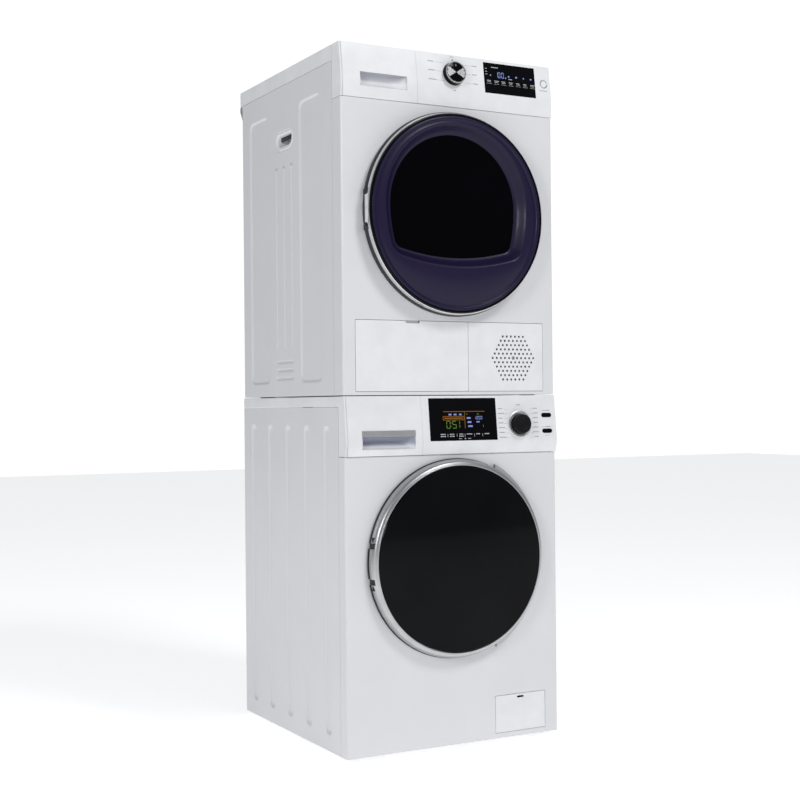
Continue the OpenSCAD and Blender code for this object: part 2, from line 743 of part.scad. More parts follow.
module washer_door_catch() color(STEEL) {
    bar_z(catch_x, -7.5, 2, washer_door_z - 13, washer_door_z + 13);
    difference() {
        union() {
            bar_z(catch_x, -7.5, 4, washer_door_z - 7, washer_door_z + 7);
            block([catch_x - 2.5, -7.5, washer_door_z - 7], [catch_x + 2.5, 20, washer_door_z + 7]);
            profile_z([[catch_x + 2, 12], [catch_x + 7, 13], [catch_x + 2, 20]],
                washer_door_z - 7, washer_door_z + 7);
        }
        bar_z(catch_x, -7.5, 1.9, washer_door_z - 8, washer_door_z + 8);
    }
}

module washer_door_lock() color(DARK) difference() {
    block([catch_x - 20, 3, washer_door_z - 30], [catch_x + 26, 34, washer_door_z + 30]);
    block([catch_x - 9, 2, washer_door_z - 18], [catch_x + 11, 30, washer_door_z + 18]);
}

module washer_gasket() color([0.45, 0.46, 0.48]) {
    m = washer_mouth_r;
    f = tub_front;
    turned(0, washer_door_z, [[bowl_r - 1, 13], [bowl_r + 10, 1.5], [m - 0.4, 1.5], [m - 0.4, f - 32],
        [m - 6, f - 22], [m + 9.6, f - 11], [m + 9.6, f - 1], [m + 6, f - 1], [m + 6, f - 10],
        [m - 10, f - 20], [m - 4.4, f - 33], [m - 4.4, 5], [bowl_r + 12, 5], [bowl_r + 1.6, 15]]);
}

module washer_tub() color([0.82, 0.83, 0.84]) {
    m = washer_mouth_r;
    z = washer_door_z;
    difference() {
        union() {
            turned(0, z, [[m + 10, tub_front - 10], [m + 14, tub_front - 10], [m + 14, tub_front],
                [tub_r, tub_front],
                [tub_r, tub_rear], [70, tub_rear + 6], [44, hub_end], [bearing_r, hub_end],
                    [bearing_r, bearing_2],
                [bearing_r - 4, bearing_2], [bearing_r - 4, bearing_1 + bearing_w],
                    [bearing_r, bearing_1 + bearing_w],
                [bearing_r, tub_rear], [tub_r - tub_wall, tub_rear - tub_wall],
                    [tub_r - tub_wall, tub_front + tub_wall],
                [m + 10, tub_front + tub_wall]]);
            both_sides() {
                block([170, spring_y - 20, spring_z0 - 14], [spring_x + 10, spring_y + 20, spring_z0]);
                block([damper_x0 - 16, damper_y - 10, z - 245], [damper_x0 + 16, damper_y - 4, z - 190]);
            }
            for (y = [motor_y0 + 20, tub_rear - 20]) block([motor_x - 20, y, motor_z + motor_r - 6],
                [motor_x + 20, y + 12, z - tub_r + 12]);
        }
        bar_y(0, z, tub_r - tub_wall, tub_front + tub_wall, tub_rear - tub_wall);
        bar_y(motor_x, motor_z, motor_r, motor_y0 - 1, motor_y1 + 1);
    }
}

module washer_drum() color(STEEL) {
    m = washer_mouth_r;
    z = washer_door_z;
    y0 = drum_front;
    turned(0, z, [[m, y0 + 2], [m + 3, y0], [drum_r, y0 + 8], [drum_r, drum_rear], [0, drum_rear],
        [0, drum_rear - drum_wall], [drum_r - drum_wall, drum_rear - drum_wall],
            [drum_r - drum_wall, y0 + 9],
        [m + 3.5, y0 + 1.3], [m + 1, y0 + 3]]);
    for (a = [30:120:389]) translate([0, 0, z]) rotate([0, a, 0]) paddle(drum_r, drum_wall, 50, 48,
        y0 + 40, drum_rear - 20);
}

module washer_drum_shaft() color([0.55, 0.56, 0.58]) {
    z = washer_door_z;
    for (a = [0:120:359]) translate([0, 0, z]) rotate([0, a, 0])
        block([-16, drum_rear, 0], [16, drum_rear + 11, drum_r - 14]);
    bar_y(0, z, 40, drum_rear, drum_rear + 14);
    bar_y(0, z, shaft_r, drum_rear, hub_end + 2);
    bar_y(0, z, shaft_end_r, hub_end, pulley_y + pulley_w + 6);
}

module washer_bearings() color(STEEL) for (y = [bearing_1, bearing_2]) difference() {
    bar_y(0, washer_door_z, bearing_r, y, y + bearing_w);
    bar_y(0, washer_door_z, shaft_r + shaft_fit, y - 1, y + bearing_w + 1);
}

module washer_drum_pulley() color([0.66, 0.67, 0.69]) {
    z = washer_door_z;
    difference() {
        bar_y(0, z, pulley_r + 4, pulley_y, pulley_y + pulley_w);
        turned(0, z, [[pulley_r, pulley_y + 2], [pulley_r + 5, pulley_y + 2],
            [pulley_r + 5, pulley_y + pulley_w - 2],
            [pulley_r, pulley_y + pulley_w - 2]]);
        bar_y(0, z, pulley_r - 10, pulley_y - 1, pulley_y + pulley_w + 1);
    }
    difference() {
        union() {
            bar_y(0, z, 26, pulley_y, pulley_y + pulley_w);
            for (a = [0:60:359]) translate([0, 0, z]) rotate([0, a, 0])
                block([-8, pulley_y + 6, 20], [8, pulley_y + pulley_w - 6, pulley_r - 8]);
        }
        bar_y(0, z, shaft_end_r, pulley_y - 1, pulley_y + pulley_w + 1);
    }
}

module washer_belt() color(DARK) belt_loop(0, washer_door_z, pulley_r + belt_gap, motor_x, motor_z,
    motor_pulley_r + belt_gap, belt_t, belt_y, belt_y + belt_w);

module washer_motor() color([0.5, 0.51, 0.53]) difference() {
    union() {
        bar_y(motor_x, motor_z, motor_r, motor_y0, motor_y1 - 20);
        bar_y(motor_x, motor_z, 24, motor_y1 - 20, motor_y1);
    }
    bar_y(motor_x, motor_z, 8 + shaft_fit, motor_y1 - 60, motor_y1 + 1);
}

module washer_motor_pulley() color(STEEL) {
    bar_y(motor_x, motor_z, 8, motor_y1 - 58, pulley_y);
    bar_y(motor_x, motor_z, motor_pulley_r + 3, pulley_y - 1, pulley_y + 1.5);
    bar_y(motor_x, motor_z, motor_pulley_r, pulley_y, pulley_y + pulley_w);
    bar_y(motor_x, motor_z, motor_pulley_r + 3, pulley_y + pulley_w - 1.5, pulley_y + pulley_w + 1);
}

module washer_counterweights() color([0.58, 0.57, 0.55]) {
    z = washer_door_z;
    for (s = [-1, 1]) intersection() {
        difference() {
            bar_y(0, z, tub_r - 4, washer_wrap + 3, tub_front);
            bar_y(0, z, washer_mouth_r + 22, washer_wrap, tub_front + 1);
        }
        block([-tub_r, 19, s > 0 ? z + 70 : z - tub_r], [tub_r, tub_front + 1, s > 0 ? z + tub_r : z - 70]);
    }
    difference() {
        block([-40, tub_front + 90, z + 150], [120, tub_front + 250, z + tub_r + 38]);
        bar_y(0, z, tub_r, tub_front, tub_rear);
    }
}

module washer_suspension() color([0.35, 0.36, 0.38]) {
    for (s = [-1, 1]) {
        coil(s * spring_x, spring_y, spring_z0, spring_z1, 13, 2, 9);
        damper([s * damper_x0, washer_door_z - 232], [s * damper_x1, washer_z + 24]);
    }
}

// Friction damper between two points of [x, z]: a rod in a tube, with an eye at each end
module damper(top, foot) {
    length = norm(top - foot);
    y = damper_y + 8;
    translate([top[0], y, top[1]]) rotate([0, 180 - atan2(foot[0] - top[0], top[1] - foot[1]), 0]) {
        for (q = [0, length]) translate([0, 12, q]) rotate([90, 0, 0]) cylinder(r = 9, h = 24);
        cylinder(r = 5, h = length * 0.6);
        difference() {
            translate([0, 0, length * 0.42]) cylinder(r = 10, h = length * 0.56);
            translate([0, 0, length * 0.42 - 1]) cylinder(r = 7.5, h = length * 0.15);
        }
    }
}

module washer_drain_pump() color(DARK) {
    difference() {
        union() {
            bar_y(filter_x, filter_z, filter_r + 5, 12, 120);
            bar_y(filter_x, filter_z, 24, 120, 190);
            block([filter_x - 20, 60, washer_z + 2], [filter_x + 20, 110, filter_z - filter_r]);
            bar_z(filter_x, 90, 12, filter_z, filter_z + 50);
        }
        bar_y(filter_x, filter_z, filter_r + 0.08, 11, 112);
        bar_z(filter_x, 90, 9, filter_z, filter_z + 51);
    }
}

module washer_pump_filter() color(PALE_GREY) {
    difference() {
        bar_y(filter_x, filter_z, filter_r, 14, 108);
        bar_y(filter_x, filter_z, filter_r - 3, 24, 109);
        for (a = [0:45:359]) translate([filter_x, 0, filter_z]) rotate([0, a, 0])
            block([-4, 60, 10], [4, 104, filter_r + 1]);
    }
    block([filter_x - filter_r + 3, 6, filter_z - 3.5], [filter_x + filter_r - 3, 14.5, filter_z + 3.5]);
}

module washer_pump_flap() color(WHITE) {
    difference() {
        plate_y(pump_flap_x0, pump_flap_x1, pump_flap_z, pump_flap_z + pump_flap_h, flap_corner_r, 0,
            flap_t);
        plate_y(filter_x - 10, filter_x + 10, pump_flap_z + pump_flap_h - 10,
            pump_flap_z + pump_flap_h - 5, 2, -1, flap_t + 1);
    }
    for (x = [pump_flap_x0 + 2, pump_flap_x1 - 8]) block([x, flap_t - 0.5, pump_flap_z + 2],
        [x + 6, 6.5, pump_flap_z + 8]);
    bar_x(flap_pin_y, pump_flap_z + 4.5, flap_pin_r, pump_flap_x0 - 8, pump_flap_x0 + 3);
    bar_x(flap_pin_y, pump_flap_z + 4.5, flap_pin_r, pump_flap_x1 - 3, pump_flap_x1 + 8);
}

module washer_inlet_valve() color(WHITE) {
    block([valve_x - 18, washer_rear - 58, valve_z - 20], [valve_x + 18, washer_rear - 6, valve_z + 20]);
    bar_y(valve_x, valve_z, 18, washer_rear - 8, washer_rear - 0.2);
    difference() {
        bar_y(valve_x, valve_z, thread_r, washer_rear - 2, washer_rear + 18);
        bar_y(valve_x, valve_z, 8, washer_rear - 1, washer_rear + 19);
    }
}

// ---------- joining pieces ----------

module gland(x, z, y) difference() {
    union() {
        bar_y(x, z, 8.8, y - 6, y + 2);
        bar_y(x, z, 13, y + sheet, y + 6);
    }
    bar_y(x, z, 4.2, y - 7, y + 7);
}

module cord_glands() color(DARK) {
    gland(cord_x, cord_z, washer_rear);
    gland(cord_x, dryer_z + 120, dryer_rear);
}

module stacking_kit() color(STEEL) {
    t = 2;
    y0 = washer_rear + sheet;
    y1 = washer_rear + washer_overhang + 0.5;
    y2 = dryer_rear + sheet;
    z1 = washer_side_top;
    for (x = bracket_x) difference() {
        profile_x(x, x + bracket_w, [[y0, z1 - 45], [y0 + t, z1 - 45], [y0 + t, z1 - 4], [y1 + t, z1],
            [y1 + t, dryer_z + 2],
            [y2 + t, dryer_z + 8], [y2 + t, dryer_z + 50], [y2, dryer_z + 50], [y2, dryer_z + 7],
                [y1, dryer_z + 1],
            [y1, z1 + 0.8], [y0, z1 - 3]]);
        bar_y(x + bracket_w / 2, z1 - 25, 2, y0 - 5, y0 + 5);
        bar_y(x + bracket_w / 2, dryer_z + 30, 2, y2 - 5, y2 + 5);
    }
    for (s = [-1, 1], y = foot_y) bar_z(s * foot_x, y, 20, washer_top, washer_top + stack_gap);
}

module screw(x, z, y) {
    bar_y(x, z, screw_r, y, y + 2.4);
    bar_y(x, z, screw_shank_r, y - 7, y + 0.5);
}

module case_screws() color(SILVER) {
    for (p = rear_screws(washer_z, washer_side_top)) screw(p[0], p[1], washer_rear + sheet);
    for (p = rear_screws(dryer_z + 20, dryer_top - 100)) screw(p[0], p[1], dryer_rear + sheet);
    for (x = bracket_x) {
        screw(x + bracket_w / 2, washer_side_top - 25, washer_rear + sheet + 2);
        screw(x + bracket_w / 2, dryer_z + 30, dryer_rear + sheet + 2);
    }
    bar_y(grille_x, grille_z, screw_r, dryer_front - 0.3, dryer_front + 1.2);
    bar_y(grille_x, grille_z, screw_shank_r, dryer_front + 1, dryer_front + 11);
}

// ---------- dryer ----------

module dryer_base() color([0.35, 0.36, 0.38]) {
    x1 = half - sheet;
    y0 = dryer_front + 10;
    cx0 = condenser_x0 - 4;
    cx1 = condenser_x1 + 4;
    difference() {
        block([-x1, y0, dryer_z], [x1, dryer_rear - sheet - 1, base_z]);
        fold_room(dryer_front + dryer_wrap + gap, dryer_z - 1, base_z + 1);
    }
    difference() {
        block([cx0, y0, base_z - 1], [cx1, condenser_y1 + 6, condenser_z1 + 6]);
        block([cx0 + 3, y0 - 1, base_z], [cx1 - 3, condenser_y1 + 3, condenser_z1 + 3]);
    }
    for (y = [dryer_front + 285, dryer_front + 365]) difference() {
        block([dryer_motor_x - 40, y, base_z - 1], [dryer_motor_x + 40, y + 10, dryer_motor_z]);
        bar_y(dryer_motor_x, dryer_motor_z, 50, y - 1, y + 11);
    }
}

module dryer_side_panels() color(WHITE) both_sides() {
    y0 = dryer_front + dryer_wrap + gap;
    z0 = dryer_z + 32;
    z1 = dryer_side_top - 58;
    difference() {
        union() {
            difference() {
                union() {
                    side_shell(y0, dryer_rear, dryer_z, dryer_side_top);
                    for (y = recess_y) block([half - recess_deep - sheet, y - recess_w / 2 - 3, z0],
                        [half - sheet + eps, y + recess_w / 2 + 3, z1]);
                }
                for (y = recess_y) block([half - recess_deep, y - recess_w / 2, z0 + 3],
                    [half + 1, y + recess_w / 2, z1 - 3]);
                block([half - 2.5, grip_y - grip_w / 2, grip_z - grip_down],
                    [half + 1, grip_y + grip_w / 2, grip_z + grip_up]);
                for (k = [0:2]) block([half - 2, grip_y - 46, dryer_z + 40 + k * louvre_pitch],
                    [half + 1, grip_y + 60, dryer_z + 49 + k * louvre_pitch]);
            }
            difference() {
                block([half - 34, grip_y - grip_w / 2 - 6, grip_z - grip_down - 10],
                    [half - sheet + eps, grip_y + grip_w / 2 + 6, grip_z + grip_up + 10]);
                block([half - 31, grip_y - grip_w / 2, grip_z - grip_down],
                    [half + 1, grip_y + grip_w / 2, grip_z + grip_up + 4]);
            }
            block([half - sheet - 0.5, grip_y - grip_w / 2 - 6, grip_z + grip_up],
                [half, grip_y + grip_w / 2 + 6, grip_z + grip_up + 10]);
        }
        for (k = [-1:1]) pill_x(grip_y + 4.5 + k * rib_pitch, dryer_z + 115, dryer_z + 580, 8,
            half - 0.6, half + 1);
        for (p = rear_screws(dryer_z + 20, dryer_top - 100)) if (p[0] > 0) bar_y(p[0], p[1],
            2, dryer_rear - 3, dryer_rear + 1);
    }
}

module dryer_rear_panel() color(PALE_GREY) {
    z1 = dryer_side_top;
    difference() {
        union() {
            block([-half + sheet, dryer_rear, dryer_z], [half - sheet, dryer_rear + sheet, z1]);
            bar_y(0, dryer_door_z, 120, dryer_rear - 3, dryer_rear + eps);
            bar_y(0, dryer_door_z, 30, dryer_rear - 34, dryer_rear);
            profile_x(-half + 3, half - 3, [[dryer_rear + eps, z1 - 50], [dryer_rear + 24, z1 - 10],
                [dryer_rear + 24, z1],
                [dryer_rear + eps, z1]]);
        }
        profile_x(-half + 5, half - 5, [[dryer_rear - 5, z1 - 47], [dryer_rear, z1 - 47],
            [dryer_rear + 22, z1 - 9],
            [dryer_rear + 22, z1 - 2], [dryer_rear - 5, z1 - 2]]);
        rear_holes(rear_screws(dryer_z + 20, dryer_top - 100), dryer_rear);
        bar_y(0, dryer_door_z, stub_r + shaft_fit, dryer_rear - 40, dryer_rear - 6);
        bar_y(cord_x, dryer_z + 120, gland_hole_r, dryer_rear - 1, dryer_rear + 4);
        for (x = bracket_x) bar_y(x + bracket_w / 2, dryer_z + 30, 2, dryer_rear - 2, dryer_rear + 5);
        for (i = [0:9], k = [0:3]) block([-80 + i * 16, dryer_rear - 2, dryer_z + 62 + k * 18],
            [-70 + i * 16, dryer_rear + 3, dryer_z + 72 + k * 18]);
    }
}

module dryer_front_panel() color(WHITE) difference() {
    union() {
        wrap_shell(dryer_front, dryer_front + dryer_wrap, dryer_z, dryer_seam - gap);
        bar_y(0, dryer_door_z, dryer_mouth_r + 2, dryer_front + sheet - eps, dryer_front + 12);
        block([low_x0 - 9, dryer_front + sheet - eps, low_z], [low_x0 - 3, dryer_front + 8, low_z + 9]);
        block([flap_seam + 3, dryer_front + sheet - eps, low_z - 6],
            [flap_seam + 9, dryer_front + 8, low_z - gap - 0.5]);
        block([flap_seam + 3, dryer_front + flap_t + 0.4, low_z - 6],
            [flap_seam + 9, dryer_front + 8, low_z + 9]);
    }
    bar_y(0, dryer_door_z, dryer_mouth_r, dryer_front - 1, dryer_front + 13);
    plate_y(low_x0 - gap, low_x0 + low_panel_w + gap, low_z - gap, low_z1 + gap,
        flap_corner_r + 0.5, dryer_front - 1, dryer_front + 1.5);
    bar_x(dryer_front + flap_pin_y, low_z + 4.5, flap_pin_r + 0.08, low_x0 - 12, flap_seam + 12);
    block([catch_x + 2, dryer_front - 1, dryer_door_z - 8],
        [catch_x + 14, dryer_front + 2, dryer_door_z + 8]);
}

module dryer_worktop() color(WHITE) difference() {
    block([-half, dryer_front + dryer_wrap + gap, dryer_top - dryer_worktop],
        [half, dryer_rear + overhang, dryer_top]);
    block([-half + 12, dryer_front + dryer_wrap + gap + 12, dryer_top - dryer_worktop - 1],
        [half - 12, dryer_rear + overhang - 12, dryer_top - 18]);
}

module dryer_console() color(WHITE) {
    difference() {
        union() {
            console_shell(dryer_face, tank_z0, tank_z0 + tank_h + 6);
            on_face(dryer_face, dryer_knob_x, dryer_knob_z) bar_y(0, 0, 10, 1, 12);
            on_face(dryer_face, dryer_power_x, dryer_power_z) bar_y(0, 0, dryer_power_r + 2.8, -1, 1);
        }
        on_face(dryer_face, dryer_knob_x, dryer_knob_z) bar_y(0, 0, knob_shaft_r + shaft_fit, -6, 20);
        on_face(dryer_face, dryer_power_x, dryer_power_z) bar_y(0, 0, dryer_power_r + button_gap, -6, 8);
        on_face(dryer_face, dryer_display_x, dryer_seam + dryer_band + dryer_display_h / 2 + 2) {
            block([-dryer_display_w / 2 - 0.2, -3, -dryer_display_h / 2 - 0.2],
                [dryer_display_w / 2 + 0.2, 2.4, dryer_display_h / 2 + 0.2]);
            block([-dryer_display_w / 2 + 6, -3, -dryer_display_h / 2 + 6],
                [dryer_display_w / 2 - 6, 9, dryer_display_h / 2 - 6]);
        }
    }
    // Channel that carries the water tank
    difference() {
        block([drawer_x0 + 11, dryer_front + 4, tank_z0 - 3],
            [drawer_x1 - 11, dryer_front + 44 + tank_len, tank_z0 + 30]);
        block([drawer_x0 + 14, dryer_front + 3, tank_z0], [drawer_x1 - 14, dryer_front + 45 + tank_len,
            tank_z0 + 31]);
    }
}

module dryer_display() color(BLACK)
    on_face(dryer_face, dryer_display_x, dryer_seam + dryer_band + dryer_display_h / 2 + 2)
        block([-dryer_display_w / 2, 0, -dryer_display_h / 2],
            [dryer_display_w / 2, 2.2, dryer_display_h / 2]);

module dryer_knob() color(BLACK) on_face(dryer_face, dryer_knob_x, dryer_knob_z) knob(dryer_knob_r, 17);

module dryer_power_button() color(WHITE) on_face(dryer_face, dryer_power_x, dryer_power_z) {
    bar_y(0, 0, dryer_power_r, -button_travel, console_wall + 0.6);
    bar_y(0, 0, dryer_power_r + 2.5, console_wall + 0.4, console_wall + 1.6);
}

module dryer_water_tank() color(WHITE) {
    x0 = drawer_x0 + 15;
    x1 = drawer_x1 - 15;
    y0 = dryer_front + pull_deep + 8;
    y1 = y0 + tank_len - 30;
    p0 = pull_x - pull_w / 2 + 8;
    p1 = pull_x + pull_w / 2 - 8;
    z1 = dryer_pull_z + dryer_pull_h;
    difference() {
        drawer_face(dryer_face);
        block([p0, -30, dryer_pull_z], [p1, 40, z1]);
    }
    pull_cup(dryer_face, p0, p1, dryer_pull_z, z1, dryer_front + pull_deep);
    block([p0, dryer_front + pull_deep + 1, dryer_pull_z - 1], [p1, y0, dryer_pull_z + 10]);
    difference() {
        block([x0, y0, tank_z0 + 1.5], [x1, y1, tank_z0 + tank_h]);
        block([x0 + 2, y0 + 2, tank_z0 + 3.5], [x1 - 2, y1 - 2, tank_z0 + tank_h - 2]);
        bar_z(tray_x, y1 - 30, 14, tank_z0 + tank_h - 3, tank_z0 + tank_h + 1);
    }
}

module dryer_door_frame() color(SILVER) {
    r = dryer_door_r;
    f = dryer_front;
    z = dryer_door_z;
    m = dryer_mouth_r;
    difference() {
        turned(0, z, [[r - 12, f - 35.4], [r - 9, f - 37.4], [r - 8, f - 36], [r - 2, f - 16],
            [r, f - 11.4],
            [r - 1, f - 8], [r - 6, f - 4], [m - 14, f - 4], [m - 16, f + 4], [m - 30, f + 48],
            [m - 60, f + 52], [0, f + 52], [0, f + 49], [m - 62, f + 49], [m - 33, f + 45], [m - 19, f + 3],
            [m - 18, f - 8], [r - 12, f - 8]]);
        hinge_room(dryer_hinge_x, dryer_hinge_y, z);
    }
    door_knuckle(dryer_hinge_x, dryer_hinge_y, z);
    block([catch_x + 5, f - 5, z - 5], [catch_x + 11, f + 14, z + 5]);
}

module dryer_door_face() color(VIOLET) {
    r = dryer_door_r - 12.4;
    f = dryer_front;
    z = dryer_door_z;
    zc = z + 19;
    difference() {
        union() {
            bar_y(0, z, r, f - 34.4, f - 31.4);
            arch(zc, 203, 153, f - 31.6, f - 10.4);
        }
        arch(zc, 200, 150, f - 40, f - 13.4);
        bar_y(0, z, 1, f - 35, f - 34);
    }
    difference() {
        bar_y(0, z, r, f - 31.5, f - 8.2);
        bar_y(0, z, r - 3, f - 32, f - 8);
        block([-r - 1, f - 32, z - 75], [-r + 30, f, z + 75]);
    }
}

module dryer_door_hinge() color(DARK) hinge_leaf(dryer_hinge_x, dryer_hinge_y, dryer_door_z, dryer_front);

module dryer_bulkhead() color(PALE_GREY) {
    f = dryer_front;
    z = dryer_door_z;
    m = dryer_mouth_r;
    difference() {
        union() {
            turned(0, z, [[m - 12, f + 6], [m - 0.5, f + 6], [m - 0.5, f + 44], [dryer_drum_r + 7, f + 44],
                [dryer_drum_r + 7, f + 50], [dryer_drum_r - 8, f + 50], [dryer_drum_r - 8, f + 70],
                [dryer_drum_r - 12, f + 70], [dryer_drum_r - 12, f + 50], [m - 12, f + 50]]);
            block([-94, f + 12, z - m - 55], [94, f + 44.5, z - m + 30]);
        }
        block([-90, f + 16, z - m - 52], [90, f + 40, z - m + 60]);
        bar_y(0, z, m - 12, f + 5, f + 51);
    }
}

module dryer_lint_filter() color([0.75, 0.76, 0.78]) {
    f = dryer_front;
    z = dryer_door_z;
    m = dryer_mouth_r;
    difference() {
        block([-89, f + 17, z - m - 51], [89, f + 39, z - m + 32]);
        bar_y(0, z, m - 11.5, f + 5, f + 51);
        block([-84, f + 20, z - m - 47], [84, f + 36, z - m + 5]);
        for (k = [0:4]) block([-78 + k * 32, f + 16, z - m - 44], [-50 + k * 32, f + 40, z - m - 4]);
    }
}

module dryer_drum() color(STEEL) {
    y0 = dryer_drum_front;
    y1 = dryer_drum_rear;
    z = dryer_door_z;
    r = dryer_drum_r;
    turned(0, z, [[r - 1, y0], [r, y0], [r, y1], [stub_r, y1], [stub_r, dryer_rear - 8],
        [0, dryer_rear - 8],
        [0, y1 - 1], [r - 1, y1 - 1]]);
    for (a = [30:120:389]) translate([0, 0, z]) rotate([0, a, 0]) paddle(r, 1, 60, 55, y0 + 30, y1 - 20);
}

module dryer_belt() color(DARK) belt_loop(0, dryer_door_z, dryer_drum_r + belt_gap, dryer_motor_x,
    dryer_motor_z,
    dryer_pulley_r + belt_gap, dryer_belt_t, dryer_belt_y, dryer_belt_y + dryer_belt_w);

module dryer_motor() color([0.5, 0.51, 0.53]) difference() {
    bar_y(dryer_motor_x, dryer_motor_z, 49.5, dryer_front + 275, dryer_front + 390);
    bar_y(dryer_motor_x, dryer_motor_z, 6 + shaft_fit, dryer_front + 274, dryer_front + 391);
}

module dryer_fan() color(DARK) {
    x = dryer_motor_x;
    z = dryer_motor_z;
    y = dryer_front + 215;
    bar_y(x, z, 6, y, dryer_belt_y + dryer_belt_w + 6);
    bar_y(x, z, dryer_pulley_r, dryer_belt_y - 2, dryer_belt_y + dryer_belt_w + 2);
    bar_y(x, z, 62, y, y + 3);
    bar_y(x, z, 16, y, y + 40);
    for (a = [0:30:359]) translate([x, 0, z]) rotate([0, a, 0]) block([-1, y, 34], [1, y + 40, 60]);
}

module dryer_condenser() color([0.45, 0.46, 0.48]) {
    y0 = dryer_front + 24;
    difference() {
        block([condenser_x0, y0, base_z + 1], [condenser_x1, condenser_y1, condenser_z1]);
        block([condenser_x0 + 3, y0 + 12, base_z + 4],
            [condenser_x1 - 3, condenser_y1 - 4, condenser_z1 + 1]);
        block([condenser_x0 + 60, y0 - 1, base_z + 60], [condenser_x1 - 60, y0 + 9, base_z + 100]);
    }
    for (k = [0:17]) block([condenser_x0 + 2, y0 + 40 + k * 20, base_z + 3],
        [condenser_x1 - 2, y0 + 41 + k * 20, condenser_z1 - 2]);
    for (x = [condenser_x0 + 28, condenser_x1 - 28]) plate_y(x - 8, x + 8, base_z + 70, base_z + 110, 7,
        y0 - 5, y0 + 1);
}

module dryer_filter_flap() color(WHITE) {
    f = dryer_front;
    x1 = flap_seam - gap / 2;
    notch_x = (low_x0 + x1) / 2;
    difference() {
        plate_y(low_x0, x1, low_z, low_z1, flap_corner_r, f, f + flap_t);
        plate_y(notch_x - 19, notch_x + 19, low_z1 - 5.5, low_z1 + 8, 2.5, f - 1, f + flap_t + 1);
    }
    for (x = [low_x0 + 2, x1 - 8]) block([x, f + flap_t - 0.5, low_z + 2], [x + 6, f + 6.5, low_z + 8]);
    bar_x(f + flap_pin_y, low_z + 4.5, flap_pin_r, low_x0 - 8, low_x0 + 3);
    bar_x(f + flap_pin_y, low_z + 4.5, flap_pin_r, x1 - 3, flap_seam + 8);
}

// Hole centres of the hexagonal grille, without the middle one, which takes the screw
function grille() = [for (k = [-5:5], i = [0:10 - abs(k)]) let (x = (i - (10 - abs(k)) / 2) * grille_dx)
    if (k != 0 || abs(x) > 1) [grille_x + x, grille_z + k * grille_dz]];

module dryer_vent_panel() color(WHITE) {
    f = dryer_front;
    difference() {
        union() {
            plate_y(flap_seam + gap / 2, low_x0 + low_panel_w, low_z, low_z1, flap_corner_r, f, f + flap_t);
            block([flap_seam + 16, f + flap_t - eps, low_z + 12],
                [low_x0 + low_panel_w - 6, f + 9, low_z1 - 6]);
        }
        block([flap_seam + 18, f + flap_t, low_z + 14], [low_x0 + low_panel_w - 8, f + 10, low_z1 - 8]);
        for (p = grille()) block([p[0] - grille_hole / 2, f - 1, p[1] - grille_hole / 2],
            [p[0] + grille_hole / 2, f + flap_t + 1, p[1] + grille_hole / 2]);
        bar_y(grille_x, grille_z, screw_hole_r, f - 1, f + flap_t + 1);
        bar_y(grille_x, grille_z, screw_r + 0.3, f - 1, f + 1.2);
    }
}

// ---------- the pair ----------

module place() translate([0, place_y, 0]) children();

place() washer_base();
place() washer_feet();
place() washer_side_panels();
place() washer_rear_panel();
place() washer_front_panel();
place() washer_worktop();
place() washer_console();
place() washer_display();
place() washer_knob();
place() washer_power_button();
place() washer_start_button();
place() washer_drawer();
place() washer_drawer_front();
place() washer_drawer_housing();
place() washer_door_ring();
place() washer_door_glass();
place() washer_door_bowl();
place() washer_door_hinge();
place() washer_door_catch();
place() washer_door_lock();
place() washer_gasket();
place() washer_tub();
place() washer_drum();
place() washer_drum_shaft();
place() washer_bearings();
place() washer_drum_pulley();
place() washer_belt();
place() washer_motor();
place() washer_motor_pulley();
place() washer_counterweights();
place() washer_suspension();
place() washer_drain_pump();
place() washer_pump_filter();
place() washer_pump_flap();
place() washer_inlet_valve();
place() cord_glands();
place() stacking_kit();
place() case_screws();
place() dryer_base();
place() dryer_side_panels();
place() dryer_rear_panel();
place() dryer_front_panel();
place() dryer_worktop();
place() dryer_console();
place() dryer_display();
place() dryer_knob();
place() dryer_power_button();
place() dryer_water_tank();
place() dryer_door_frame();
place() dryer_door_face();
place() dryer_door_hinge();
place() dryer_bulkhead();
place() dryer_lint_filter();
place() dryer_drum();
place() dryer_belt();
place() dryer_motor();
place() dryer_fan();
place() dryer_condenser();
place() dryer_filter_flap();
place() dryer_vent_panel();
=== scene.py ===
"""Looks for the stacked washer and dryer: finishes, pressed panels, doors, controls and a small studio.

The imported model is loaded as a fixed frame. Lengths in the helpers are millimetres measured
from the middle of the pair, the washer's front plane and the floor.
"""

import json
import math
import random

import bmesh
import bpy
from mathutils import Matrix, Vector

